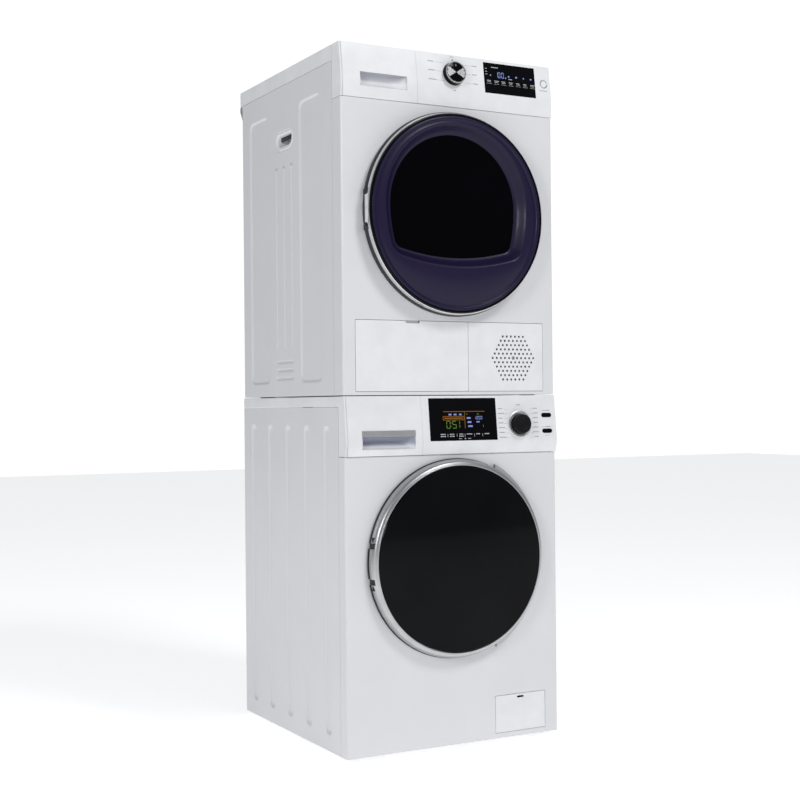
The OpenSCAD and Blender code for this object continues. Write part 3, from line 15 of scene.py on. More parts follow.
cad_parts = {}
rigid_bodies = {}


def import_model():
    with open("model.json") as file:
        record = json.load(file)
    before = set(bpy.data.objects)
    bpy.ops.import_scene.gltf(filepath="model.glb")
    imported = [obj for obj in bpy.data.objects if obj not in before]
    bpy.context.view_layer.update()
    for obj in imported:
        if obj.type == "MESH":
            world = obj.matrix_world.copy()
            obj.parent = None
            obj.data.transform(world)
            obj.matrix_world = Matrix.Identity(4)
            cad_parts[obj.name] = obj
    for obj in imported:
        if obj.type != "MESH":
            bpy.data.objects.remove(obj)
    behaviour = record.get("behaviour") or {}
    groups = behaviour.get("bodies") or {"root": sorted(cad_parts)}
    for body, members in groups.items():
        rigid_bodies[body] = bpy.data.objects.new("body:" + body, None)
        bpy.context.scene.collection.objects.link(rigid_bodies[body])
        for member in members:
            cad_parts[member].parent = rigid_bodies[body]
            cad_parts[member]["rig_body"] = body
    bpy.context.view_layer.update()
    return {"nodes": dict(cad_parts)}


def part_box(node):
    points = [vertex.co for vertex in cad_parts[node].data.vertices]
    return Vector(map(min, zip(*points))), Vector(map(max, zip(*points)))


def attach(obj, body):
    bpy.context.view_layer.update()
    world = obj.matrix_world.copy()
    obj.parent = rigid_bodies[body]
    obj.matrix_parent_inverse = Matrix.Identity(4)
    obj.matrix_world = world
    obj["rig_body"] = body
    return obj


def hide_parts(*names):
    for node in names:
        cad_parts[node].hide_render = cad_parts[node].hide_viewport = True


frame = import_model()

bl_info = {
    "name": "Laundry Pair",
    "version": (1, 0, 0),
    "blender": (4, 5, 0),
    "location": "View3D > Sidebar > Laundry",
    "description": "Finishes and detailed pieces for a stacked washer and dryer",
    "category": "Object",
}

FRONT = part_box("washer_front_panel")[0].y * 1000
WASHER_DOOR_Z = sum(c.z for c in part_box("washer_door_glass")) * 500
DRYER_DOOR_Z = sum(c.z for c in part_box("dryer_door_face")) * 500
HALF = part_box("dryer_worktop")[1].x * 1000

# Console faces between the crease and the top edge: (y, z) of each
WASHER_FACE = ((-9.0, 746.5), (3.0, 859.0))
DRYER_FACE = ((2.4, 1606.5), (13.4, 1693.5))
SHARP = math.radians(34)

# Middles of the controls on the console faces: (x, z)
WASHER_KNOB = (187, 786.5)
WASHER_BUTTONS = {"washer_power_button": (268.7, 808.5), "washer_start_button": (268.7, 769.0)}
DRYER_KNOB = (11, 1645.5)
DRYER_BUTTON = (276.5, 1647.5)

# Hinge pins of the doors: (x, y). The ears stand at EAR_SPREAD above and below the door's middle
WASHER_HINGE = (-230, -15)
DRYER_HINGE = (-236, -13.6)
EAR_SPREAD, EAR_TALL = 42.5, 13.6

# Hand grip in the dryer's side: middle y and z, half width, above and below
GRIP = (333.0, 1517.0, 42.0, 11.0, 17.0)

# Sheet of the side panels: thickness in metres, depth of the folded edge in millimetres
SHEET, FOLD = 0.0008, 14

# Studio: place, target and size of each lamp in metres
LAMPS = {"key": ((1.3, -3.5, 4.6), (0, 0, 0.8), 1.3), "side": ((-3.6, -2.4, 2.2), (0, 0, 0.85), 0.9)}
FLOOR_GLOW = 0.62
CAMERA_SPOT = (-1.7106, -3.1892, 0.8371)
CAMERA_TURNS = (28.39, 0.211, -0.527)        # yaw, pitch and roll in degrees
CAMERA_LENS = 61.97


# ---------- places ----------

def at(x, y, z):
    """A point in metres from millimetres measured off the washer's front plane."""
    return Vector((x, y + FRONT, z)) / 1000


def face_place(face, x, z):
    """Matrix from a flat drawing (right, up, out) to its place on a console face."""
    (y0, z0), (y1, z1) = face
    up = Vector((0, y1 - y0, z1 - z0)).normalized()
    out = Vector((1, 0, 0)).cross(up)
    spot = at(x, y0 + (z - z0) * (y1 - y0) / (z1 - z0), z)
    turn = Matrix((Vector((1, 0, 0)), up, out)).transposed().to_4x4()
    return Matrix.Translation(spot) @ turn @ Matrix.Scale(0.001, 4)


def front_place(x, y, z):
    """Matrix from a flat drawing (right, up, out) to an upright plane facing the front."""
    turn = Matrix(((1, 0, 0), (0, 0, -1), (0, 1, 0))).to_4x4()
    return Matrix.Translation(at(x, y, z)) @ turn @ Matrix.Scale(0.001, 4)


def side_place(side, y, z, x=None):
    """Matrix from a flat drawing (to the back, up, out) to a cabinet's side, 1 right and -1 left."""
    spot = at(side * (HALF if x is None else x), y, z)
    turn = Matrix(((0, 0, side), (1, 0, 0), (0, 1, 0))).to_4x4()
    return Matrix.Translation(spot) @ turn @ Matrix.Scale(0.001, 4)


# ---------- finishes ----------

def new_finish(name, colour, rough, metal=0.0, specular=0.5, coat=0.0, coat_rough=0.1):
    """A material with its uniform values on the shader's own sockets."""
    material = bpy.data.materials.new(name)
    material.use_nodes = True
    material.diffuse_color = (*colour, 1.0)
    shader = material.node_tree.nodes["Principled BSDF"]
    shader.inputs["Base Color"].default_value = (*colour, 1.0)
    shader.inputs["Roughness"].default_value = rough
    shader.inputs["Metallic"].default_value = metal
    shader.inputs["Specular IOR Level"].default_value = specular
    shader.inputs["Coat Weight"].default_value = coat
    shader.inputs["Coat Roughness"].default_value = coat_rough
    return material


def add(material, kind, **values):
    """A node in a finish, with values for its inputs or its own settings."""
    node = material.node_tree.nodes.new(kind)
    for key, value in values.items():
        if key in node.inputs:
            node.inputs[key].default_value = value
        else:
            setattr(node, key, value)
    return node


def join(material, source, target):
    material.node_tree.links.new(source, target)


def shader_of(material):
    return material.node_tree.nodes["Principled BSDF"]


def grain(material, scale, detail=3.0, stretch=(1, 1, 1), centre=(0, 0, 0)):
    """Noise in the object's own metres, stretched along an axis if asked."""
    spot = add(material, "ShaderNodeTexCoord")
    lay = add(material, "ShaderNodeMapping")
    lay.inputs["Location"].default_value = centre
    lay.inputs["Scale"].default_value = stretch
    noise = add(material, "ShaderNodeTexNoise", Scale=scale, Detail=detail)
    join(material, spot.outputs["Object"], lay.inputs["Vector"])
    join(material, lay.outputs["Vector"], noise.inputs["Vector"])
    return noise.outputs["Fac"]


def vary_colour(material, value, dark, light, low=0.3, high=0.7):
    ramp = add(material, "ShaderNodeValToRGB")
    ramp.color_ramp.elements[0].position = low
    ramp.color_ramp.elements[1].position = high
    ramp.color_ramp.elements[0].color = (*dark, 1.0)
    ramp.color_ramp.elements[1].color = (*light, 1.0)
    join(material, value, ramp.inputs["Fac"])
    join(material, ramp.outputs["Color"], shader_of(material).inputs["Base Color"])
    return ramp


def vary_rough(material, value, low, high):
    span = add(material, "ShaderNodeMapRange")
    span.inputs["To Min"].default_value = low
    span.inputs["To Max"].default_value = high
    join(material, value, span.inputs["Value"])
    join(material, span.outputs["Result"], shader_of(material).inputs["Roughness"])


def emboss(material, value, height, strength=0.4):
    """A fine relief, height in metres."""
    bump = add(material, "ShaderNodeBump", Distance=height, Strength=strength)
    join(material, value, bump.inputs["Height"])
    join(material, bump.outputs["Normal"], shader_of(material).inputs["Normal"])


def darker(colour, amount):
    """The same colour a little darker."""
    return tuple(c * amount for c in colour)


def enamel(name, colour, rough):
    """Sprayed enamel on sheet: faint orange peel and a slight waviness."""
    m = new_finish(name, colour, rough, specular=0.45, coat=0.25, coat_rough=0.22)
    vary_colour(m, grain(m, 9.0, 4.0), darker(colour, 0.975), colour)
    vary_rough(m, grain(m, 60.0, 2.0), rough - 0.05, rough + 0.07)
    emboss(m, grain(m, 620.0, 2.0), 0.00006, 0.35)
    return m


def moulding(name, colour, rough, specular=0.45, peel=900.0, coat=0.0):
    """Moulded plastic: spark-eroded grain, slightly uneven sheen."""
    m = new_finish(name, colour, rough, specular=specular, coat=coat, coat_rough=0.12)
    vary_colour(m, grain(m, 22.0, 5.0), darker(colour, 0.93), colour)
    vary_rough(m, grain(m, 140.0, 3.0), rough - 0.05, rough + 0.08)
    emboss(m, grain(m, peel, 2.0), 0.00004, 0.3)
    return m


def gloss_glass(name, colour, rough, specular):
    """Dark toughened glass with the faint smears that a cloth leaves."""
    m = new_finish(name, colour, rough, specular=specular)
    vary_colour(m, grain(m, 5.0, 3.0), darker(colour, 0.6), colour)
    vary_rough(m, grain(m, 14.0, 5.0, (1.0, 1.0, 2.6)), rough, rough + 0.07)
    return m


def sheen_metal(name, colour, rough, stretch=(1, 1, 1), scale=260.0, depth=0.00002):
    """Bright or satin metal with its polishing lines."""
    m = new_finish(name, colour, rough, metal=1.0)
    lines = grain(m, scale, 3.0, stretch)
    vary_colour(m, grain(m, 30.0, 4.0), darker(colour, 0.88), colour)
    vary_rough(m, lines, max(0.03, rough - 0.06), rough + 0.08)
    emboss(m, lines, depth, 0.25)
    return m


def zinc_sheet(name, colour, rough):
    """Hot-dipped zinc: crystal spangle that changes colour and sheen from grain to grain."""
    m = new_finish(name, colour, rough, metal=0.85)
    spot = add(m, "ShaderNodeTexCoord")
    cells = add(m, "ShaderNodeTexVoronoi", Scale=85.0)
    join(m, spot.outputs["Object"], cells.inputs["Vector"])
    tone = add(m, "ShaderNodeSeparateColor")
    join(m, cells.outputs["Color"], tone.inputs["Color"])
    vary_colour(m, tone.outputs["Red"], darker(colour, 0.74), colour, 0.0, 1.0)
    vary_rough(m, tone.outputs["Green"], rough - 0.08, rough + 0.12)
    return m


def rubber(name, colour, rough):
    """Moulded rubber with a dusty bloom."""
    m = new_finish(name, colour, rough, specular=0.3)
    vary_colour(m, grain(m, 34.0, 6.0), darker(colour, 0.8), colour)
    vary_rough(m, grain(m, 210.0, 2.0), rough - 0.08, rough + 0.1)
    emboss(m, grain(m, 480.0, 3.0), 0.00008, 0.35)
    shader_of(m).inputs["Sheen Weight"].default_value = 0.15
    return m


def cast_metal(name, colour, rough):
    """Sand-cast surface: pitted and uneven."""
    m = new_finish(name, colour, rough, metal=0.75)
    vary_colour(m, grain(m, 45.0, 6.0), darker(colour, 0.7), colour)
    emboss(m, grain(m, 260.0, 5.0), 0.0003, 0.45)
    return m


def ballast_stone(name, colour, rough):
    """Cast concrete: sand, small voids and a chalky bloom."""
    m = new_finish(name, colour, rough, specular=0.2)
    vary_colour(m, grain(m, 120.0, 8.0), darker(colour, 0.62), colour, 0.35, 0.62)
    emboss(m, grain(m, 300.0, 6.0), 0.0006, 0.6)
    return m


def punched_steel(name, colour, rough, radius, centre_z, pitch, hole):
    """Drum steel with rows of punched holes laid round the drum's own axis, drawn as near-black dots: painted shade in
    place of openings.
    """
    m = new_finish(name, colour, rough, metal=1.0)
    spot = add(m, "ShaderNodeTexCoord")
    lay = add(m, "ShaderNodeMapping")
    lay.inputs["Location"].default_value = (0, 0, -centre_z / 1000)
    parts = add(m, "ShaderNodeSeparateXYZ")
    join(m, spot.outputs["Object"], lay.inputs["Vector"])
    join(m, lay.outputs["Vector"], parts.inputs["Vector"])
    angle = add(m, "ShaderNodeMath", operation="ARCTAN2")
    join(m, parts.outputs["X"], angle.inputs[0])
    join(m, parts.outputs["Z"], angle.inputs[1])
    round_count = round(2 * math.pi * radius / pitch)

    def row(value, count, shift):
        scaled = add(m, "ShaderNodeMath", operation="MULTIPLY_ADD")
        scaled.inputs[1].default_value = count
        scaled.inputs[2].default_value = shift
        join(m, value, scaled.inputs[0])
        part = add(m, "ShaderNodeMath", operation="FRACT")
        join(m, scaled.outputs[0], part.inputs[0])
        middle = add(m, "ShaderNodeMath", operation="SUBTRACT")
        middle.inputs[1].default_value = 0.5
        join(m, part.outputs[0], middle.inputs[0])
        return middle.outputs[0]

    across = row(angle.outputs[0], round_count / (2 * math.pi), 40.0)
    along = row(parts.outputs["Y"], 1000 / pitch, 80.0)
    pair = add(m, "ShaderNodeCombineXYZ")
    join(m, across, pair.inputs["X"])
    join(m, along, pair.inputs["Y"])
    reach = add(m, "ShaderNodeVectorMath", operation="LENGTH")
    join(m, pair.outputs["Vector"], reach.inputs[0])
    # Near-black dots for the holes: painted shade
    vary_colour(m, reach.outputs["Value"], (0.01, 0.01, 0.012), colour, hole / pitch - 0.02, hole / pitch + 0.02)
    vary_rough(m, grain(m, 180.0, 3.0), rough - 0.05, rough + 0.1)
    return m


def glow(name, colour, strength):
    """A lit segment behind black glass; its brightness falls off unevenly."""
    m = new_finish(name, (0.0, 0.0, 0.0), 0.3)
    shader = shader_of(m)
    shader.inputs["Emission Strength"].default_value = strength
    ramp = add(m, "ShaderNodeValToRGB")
    ramp.color_ramp.elements[0].position = 0.25
    ramp.color_ramp.elements[1].position = 0.75
    ramp.color_ramp.elements[0].color = (*darker(colour, 0.7), 1.0)
    ramp.color_ramp.elements[1].color = (*colour, 1.0)
    join(m, grain(m, 300.0, 2.0), ramp.inputs["Fac"])
    join(m, ramp.outputs["Color"], shader.inputs["Emission Color"])
    return m


def ink(name, colour):
    """Printed ink, slightly broken at its edges."""
    m = new_finish(name, colour, 0.5, specular=0.3)
    vary_colour(m, grain(m, 900.0, 3.0), colour, tuple(min(1.0, c * 1.35) for c in colour), 0.35, 0.8)
    return m


def clear_moulding(name, colour, rough):
    """Clear or smoked moulding that light passes through."""
    m = new_finish(name, colour, rough, specular=0.5)
    shader_of(m).inputs["Transmission Weight"].default_value = 0.85
    shader_of(m).inputs["IOR"].default_value = 1.49
    vary_rough(m, grain(m, 40.0, 3.0), rough, rough + 0.06)
    return m


def mesh_screen(name, colour, rough, pitch):
    """Woven screen of the lint filter."""
    m = new_finish(name, colour, rough)
    spot = add(m, "ShaderNodeTexCoord")
    weave = add(m, "ShaderNodeTexWave", Scale=1000 / pitch / 10, Distortion=0.2)
    join(m, spot.outputs["Object"], weave.inputs["Vector"])
    vary_colour(m, weave.outputs["Fac"], darker(colour, 0.45), colour, 0.2, 0.8)
    emboss(m, weave.outputs["Fac"], 0.0002, 0.5)
    return m


def shaded_pull(name, colour, deep, low, high):
    """Moulded liner of a finger pull, painted darker from height low to high: painted shade for the shadow under its
    lip.
    """
    m = moulding(name, colour, 0.38)
    spot = add(m, "ShaderNodeTexCoord")
    parts = add(m, "ShaderNodeSeparateXYZ")
    span = add(m, "ShaderNodeMapRange")
    span.inputs["From Min"].default_value = low
    span.inputs["From Max"].default_value = high
    join(m, spot.outputs["Object"], parts.inputs["Vector"])
    join(m, parts.outputs["Z"], span.inputs["Value"])
    # Painted shade: the liner's own colour below, the darker tone towards the top
    vary_colour(m, span.outputs["Result"], colour, deep, 0.0, 1.0)
    return m


# Filled by make_finishes; a piece finds its finish here by name
FINISHES = {}


def make_finishes(tones):
    """Every finish of the pair, by the record's slot names and a few extra ones."""
    white, plastic, violet = tuple(tones.paint), tuple(tones.plastic), tuple(tones.violet)
    evenly = (1, 1, 1)
    table = {
        "white_paint": (enamel, white, 0.36),
        "worktop_white": (moulding, darker(plastic, 0.985), 0.42, 0.45, 420.0),
        "white_plastic": (moulding, plastic, 0.36),
        "grey_plastic": (moulding, (0.62, 0.63, 0.65), 0.45),
        "dark_plastic": (moulding, (0.022, 0.022, 0.024), 0.42, 0.35),
        "black_gloss": (gloss_glass, (0.003, 0.003, 0.004), 0.06, 0.1),
        "knob_metal": (sheen_metal, (0.56, 0.56, 0.57), 0.26, evenly, 300.0),
        "satin_silver": (sheen_metal, (0.50, 0.505, 0.51), 0.34, evenly, 700.0),
        # The washer's door glass is opaque and near black: its own tint plus painted shade for the dark drum behind it
        "door_glass": (gloss_glass, (0.0052, 0.0055, 0.0064), 0.05, 0.07),
        "bowl_glass": (clear_moulding, (0.78, 0.84, 0.86), 0.06),
        "rubber_grey": (rubber, (0.20, 0.205, 0.21), 0.6),
        "rubber_black": (rubber, (0.018, 0.018, 0.018), 0.65),
        "stainless": (sheen_metal, (0.60, 0.60, 0.61), 0.28, (1, 6, 1), 120.0),
        "steel": (sheen_metal, (0.45, 0.45, 0.46), 0.36, (1, 1, 8), 150.0),
        "cast_alloy": (cast_metal, (0.42, 0.43, 0.44), 0.5),
        "motor_metal": (cast_metal, (0.30, 0.31, 0.33), 0.42),
        "zinc_sheet": (zinc_sheet, (0.56, 0.57, 0.59), 0.42),
        "ballast": (ballast_stone, (0.40, 0.39, 0.37), 0.9),
        "violet_plastic": (moulding, violet, 0.36, 0.2, 1100.0, 0.06),
        "base_plastic": (moulding, (0.085, 0.087, 0.09), 0.5, 0.35),
        "chrome_band": (sheen_metal, (0.66, 0.67, 0.68), 0.2, (1, 9, 1), 160.0),
        "window_black": (gloss_glass, (0.0012, 0.0011, 0.002), 0.07, 0.05),
        "washer_drum_steel": (punched_steel, (0.58, 0.58, 0.59), 0.26, 240, WASHER_DOOR_Z, 15, 3.2),
        "lint_screen": (mesh_screen, (0.34, 0.35, 0.37), 0.6, 1.6),
        "pull_metal": (sheen_metal, (0.62, 0.625, 0.635), 0.38, (0.2, 1, 1), 500.0),
        "knob_black": (moulding, (0.006, 0.006, 0.007), 0.48, 0.12),
        "silver_print": (ink, (0.34, 0.35, 0.36)),
        "pale_print": (ink, (0.20, 0.20, 0.22)),
        # The finger pull liners carry painted shade, bluish grey towards their tops under the lip
        "washer_scoop_plastic": (shaded_pull, plastic, (0.36, 0.38, 0.47), 0.738, 0.748),
        "dryer_scoop_plastic": (shaded_pull, plastic, (0.42, 0.43, 0.48), 1.606, 1.624),
        "amber_light": (glow, (1.0, 0.40, 0.04), 0.30),
        "green_light": (glow, (0.24, 0.55, 0.05), 0.55),
        "blue_light": (glow, (0.34, 0.42, 1.0), 0.85),
        "white_light": (glow, (0.80, 0.82, 0.86), 0.75),
    }
    for name, (maker, *values) in table.items():
        FINISHES[name] = maker(name, *values)


# ---------- making pieces ----------

def finish_piece(name, bm, coat, body, nodes=(), sharp=SHARP, recalculate=True, weighted=False):
    """Turns a bmesh into a piece of the object: shaded, painted, riding on its body."""
    bmesh.ops.remove_doubles(bm, verts=bm.verts[:], dist=1e-6)
    if recalculate:
        bmesh.ops.recalc_face_normals(bm, faces=bm.faces[:])
    mesh = bpy.data.meshes.new(name)
    bm.to_mesh(mesh)
    bm.free()
    mesh.shade_smooth()
    mesh.set_sharp_from_angle(angle=sharp)
    mesh.materials.append(FINISHES[coat])
    piece = bpy.data.objects.new(name, mesh)
    bpy.context.scene.collection.objects.link(piece)
    if weighted:
        weight = piece.modifiers.new("flat faces", "WEIGHTED_NORMAL")
        weight.keep_sharp = True
    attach(piece, body)
    if nodes:
        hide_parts(*nodes)
    return piece


def body_of(node):
    return frame["nodes"][node]["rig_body"]


def paint(node, coat):
    """A better finish on a CAD node whose shape stays."""
    slots = frame["nodes"][node].material_slots
    for slot in slots:
        slot.material = FINISHES[coat]
    if not slots:
        frame["nodes"][node].data.materials.append(FINISHES[coat])


def softened(node, coat, width, segments=2, choose=None, angle=40.0, clamp=True):
    """A copy of a CAD node with its loose triangles merged and its hard edges rounded."""
    bm = bmesh.new()
    bm.from_mesh(frame["nodes"][node].data)
    bmesh.ops.remove_doubles(bm, verts=bm.verts[:], dist=2e-6)
    bmesh.ops.dissolve_limit(bm, angle_limit=math.radians(0.6), verts=bm.verts[:], edges=bm.edges[:])
    edges = [e for e in bm.edges if len(e.link_faces) == 2 and e.calc_face_angle() > math.radians(angle)]
    if choose:
        edges = [e for e in edges if choose(e)]
    bmesh.ops.bevel(bm, geom=edges, offset=width / 1000, offset_type="OFFSET", segments=segments,
                    profile=0.5, affect="EDGES", material=-1, clamp_overlap=clamp)
    return finish_piece(node + "_shell", bm, coat, body_of(node), (node,), recalculate=False, weighted=True)


def loop_of(bm, points, closed=True):
    """Vertices and edges through the points."""
    verts = [bm.verts.new(p) for p in points]
    edges = [bm.edges.new(pair) for pair in zip(verts, verts[1:])]
    if closed:
        edges.append(bm.edges.new((verts[-1], verts[0])))
    return verts, edges


def rounded(points, radius, steps=4):
    """The outline with its corners rounded; radius is one number or one for each corner."""
    radii = radius if hasattr(radius, "__len__") else [radius] * len(points)
    out = []
    for i, (spot, r) in enumerate(zip(points, radii)):
        p = Vector(spot)
        if r <= 0:
            out.append(tuple(p))
            continue
        start = p + (Vector(points[i - 1]) - p).normalized() * r
        end = p + (Vector(points[(i + 1) % len(points)]) - p).normalized() * r
        for k in range(steps + 1):
            t = k / steps
            out.append(tuple(start * (1 - t) ** 2 + p * (2 * t * (1 - t)) + end * t * t))
    return out


def turned(name, x, z, profile, coat, body, nodes=(), closed=True, steps=128, sharp=SHARP):
    """A shape turned about an axis along Y; the profile is (radius, y) in millimetres."""
    bm = bmesh.new()
    verts, edges = loop_of(bm, [at(x + r, y, z) for r, y in profile], closed)
    bmesh.ops.spin(bm, geom=verts + edges, cent=at(x, 0, z), axis=(0, 1, 0), dvec=(0, 0, 0),
                   angle=2 * math.pi, steps=steps, use_merge=True)
    return finish_piece(name, bm, coat, body, nodes, sharp=sharp)


def turned_on(name, place, profile, coat, body, nodes=(), closed=True, steps=64, sharp=SHARP):
    """A shape turned about the outward axis of a flat drawing; the profile is (radius, out)."""
    bm = bmesh.new()
    verts, edges = loop_of(bm, [Vector((r, 0, out)) for r, out in profile], closed)
    bmesh.ops.spin(bm, geom=verts + edges, cent=(0, 0, 0), axis=(0, 0, 1), dvec=(0, 0, 0),
                   angle=2 * math.pi, steps=steps, use_merge=True)
    bmesh.ops.remove_doubles(bm, verts=bm.verts[:], dist=0.001)
    bmesh.ops.transform(bm, matrix=place, verts=bm.verts[:])
    return finish_piece(name, bm, coat, body, nodes, sharp=sharp)


def slab(bm, outline, low, high, edge=0.0, segments=3, place=None):
    """A plate with any outline in the drawing's plane, from low to high, its front edge rounded."""
    verts, rim = loop_of(bm, [Vector((a, b, high)) for a, b in outline])
    made = bmesh.ops.extrude_face_region(bm, geom=[bm.faces.new(verts)])
    lower = [g for g in made["geom"] if isinstance(g, bmesh.types.BMVert)]
    bmesh.ops.translate(bm, vec=(0, 0, low - high), verts=lower)
    every = set(verts) | set(lower)
    if edge > 0:
        cut = bmesh.ops.bevel(bm, geom=rim, offset=edge, offset_type="OFFSET", segments=segments,
                              profile=0.5, affect="EDGES", material=-1, clamp_overlap=True)
        every = {v for v in every | set(cut["verts"]) if v.is_valid}
    if place is not None:
        bmesh.ops.transform(bm, matrix=place, verts=list(every))


def rectangle(w, h, x=0.0, y=0.0):
    left, right, low, high = x - w / 2, x + w / 2, y - h / 2, y + h / 2
    return [(left, low), (right, low), (right, high), (left, high)]


def circle_points(r, count, x=0.0, y=0.0):
    turns = [2 * math.pi * k / count for k in range(count)]
    return [(x + r * math.cos(a), y + r * math.sin(a)) for a in turns]


def stacked_loops(bm, loops, cap_last=True):
    """Skins a surface through loops that have the same number of points."""
    rings = [loop_of(bm, loop) for loop in loops]
    for (_, first), (_, second) in zip(rings, rings[1:]):
        bmesh.ops.bridge_loops(bm, edges=first + second)
    if cap_last:
        bm.faces.new(rings[-1][0])


def carve(piece, boxes):
    """Cuts boxes, given by two corners in metres, out of a piece."""
    for low, high in boxes:
        tool = bpy.data.meshes.new("carver")
        bm = bmesh.new()
        bmesh.ops.create_cube(bm, size=1.0, matrix=Matrix.Translation((low + high) / 2)
                              @ Matrix.Diagonal((*(high - low), 1.0)))
        bm.to_mesh(tool)
        bm.free()
        cutter = bpy.data.objects.new("carver", tool)
        bpy.context.scene.collection.objects.link(cutter)
        cut = piece.modifiers.new("carve", "BOOLEAN")
        cut.operation = "DIFFERENCE"
        cut.solver = "EXACT"
        cut.object = cutter
        bpy.context.view_layer.update()
        done = bpy.data.meshes.new_from_object(piece.evaluated_get(bpy.context.evaluated_depsgraph_get()))
        piece.modifiers.remove(cut)
        piece.data = done
        bpy.data.objects.remove(cutter)
        bpy.data.meshes.remove(tool)
    piece.data.shade_smooth()
    piece.data.set_sharp_from_angle(angle=SHARP)


def ear_rooms(hinge, z):
    """The two boxes where a door leaves room for its hinge ears: outward, forward, inward and back of the pin."""
    outward, forward, inward, back = 40, 9, 6.5, 30
    x, y = hinge
    return [(at(x - outward, y - forward, z + s * EAR_SPREAD - EAR_TALL / 2),
             at(x + inward, y + back, z + s * EAR_SPREAD + EAR_TALL / 2)) for s in (-1, 1)]


def marks(name, face, spots, coat, lift=0.12):
    """Flat printed or lit marks on a console face; each is (x, z, width, height)."""
    bm = bmesh.new()
    for x, z, w, h in spots:
        slab(bm, rounded(rectangle(w, h), min(w, h) * 0.3, 2), 0.0, lift, place=face_place(face, x, z))
    finish_piece(name, bm, coat, "cabinets")


# Lit strokes of a digit: top, upper left, upper right, middle, lower left, lower right, bottom
STROKES = {"0": "1110111", "1": "0010010", "2": "1011101", "5": "1101011"}


def digit(figure, x, z, w, h, t):
    """Marks for one seven-stroke digit with its lower left corner at x, z."""
    lit = STROKES[figure]
    half = (h - t) / 2
    left, middle, right = x + t / 2, x + w / 2, x + w - t / 2
    upper, lower = z + h - t / 2 - half / 2, z + t / 2 + half / 2
    where = [(middle, z + h - t / 2, w - t, t), (left, upper, t, half - t), (right, upper, t, half - t),
             (middle, z + h / 2, w - t, t), (left, lower, t, half - t), (right, lower, t, half - t),
             (middle, z + t / 2, w - t, t)]
    return [spot for spot, on in zip(where, lit) if on == "1"]


def words(rng, x0, x1, z, h, gap=1.2):
    """A row of short bars that stands for a label."""
    spots = []
    x = x0
    while x < x1 - 1.0:
        w = min(rng.uniform(1.6, 3.4), x1 - x)
        spots.append((x + w / 2, z, w, h))
        x += w + gap * rng.uniform(0.6, 1.1)
    return spots


# ---------- sizes and colours that a user may change ----------

class LaundryTones(bpy.types.PropertyGroup):
    """Colours of the main finishes."""
    paint: bpy.props.FloatVectorProperty(
        name="Sheet paint", description="Enamel on the cabinets",
        subtype="COLOR", min=0, max=1, default=(0.70, 0.70, 0.725))
    plastic: bpy.props.FloatVectorProperty(
        name="White plastic", description="Consoles, drawer fronts and worktop edges",
        subtype="COLOR", min=0, max=1, default=(0.78, 0.79, 0.81))
    violet: bpy.props.FloatVectorProperty(
        name="Door violet", description="Face of the dryer's door",
        subtype="COLOR", min=0, max=1, default=(0.011, 0.007, 0.033))


class LaundrySizes(bpy.types.PropertyGroup):
    """Sizes of pressed and rounded shapes, in the helpers' millimetres."""
    bead_slope: bpy.props.FloatProperty(
        name="Bead slope", description="Width of a bead's sloping wall, in millimetres",
        default=6.5, min=2, max=12)
    bead_depth: bpy.props.FloatProperty(
        name="Bead depth", description="Depth of the pressed beads and recesses, in millimetres",
        default=3.4, min=0.5, max=4)
    recess_slope: bpy.props.FloatProperty(
        name="Recess slope", description="Width of a recess's sloping wall, in millimetres",
        default=8.0, min=3, max=20)
    edge: bpy.props.FloatProperty(
        name="Moulded edge", description="Rounding of moulded edges, in millimetres",
        default=1.0, min=0.2, max=2)
    hole: bpy.props.FloatProperty(
        name="Grille hole", description="Radius of the grille's holes, in millimetres",
        default=3.0, min=1, max=4)


class LaundryLight(bpy.types.PropertyGroup):
    """The studio's lights."""
    key: bpy.props.FloatProperty(
        name="Key light", description="Power of the large light, in watts", default=98.0, min=0, unit="POWER")
    side: bpy.props.FloatProperty(
        name="Side light", description="Power of the light on the left, in watts", default=44.0, min=0, unit="POWER")
    room: bpy.props.FloatProperty(
        name="Room", description="Brightness of the room's even light", default=0.27, min=0, max=2)


# ---------- pressed sides ----------

def smooth(t):
    t = max(0.0, min(1.0, t))
    return t * t * (3 - 2 * t)


def box_inside(a, b, half_a, half_b, corner):
    """How far a point is inside a rounded rectangle about the origin."""
    da, db = abs(a) - half_a + corner, abs(b) - half_b + corner
    return corner - math.hypot(max(da, 0), max(db, 0)) - min(max(da, db), 0)


def span_cuts(low, high, slope, steps=5):
    """Cuts that follow a pressed wall at both ends of a span."""
    reaches = [slope * k / steps for k in range(steps + 1)]
    return [low + reach for reach in reaches] + [high - reach for reach in reaches]


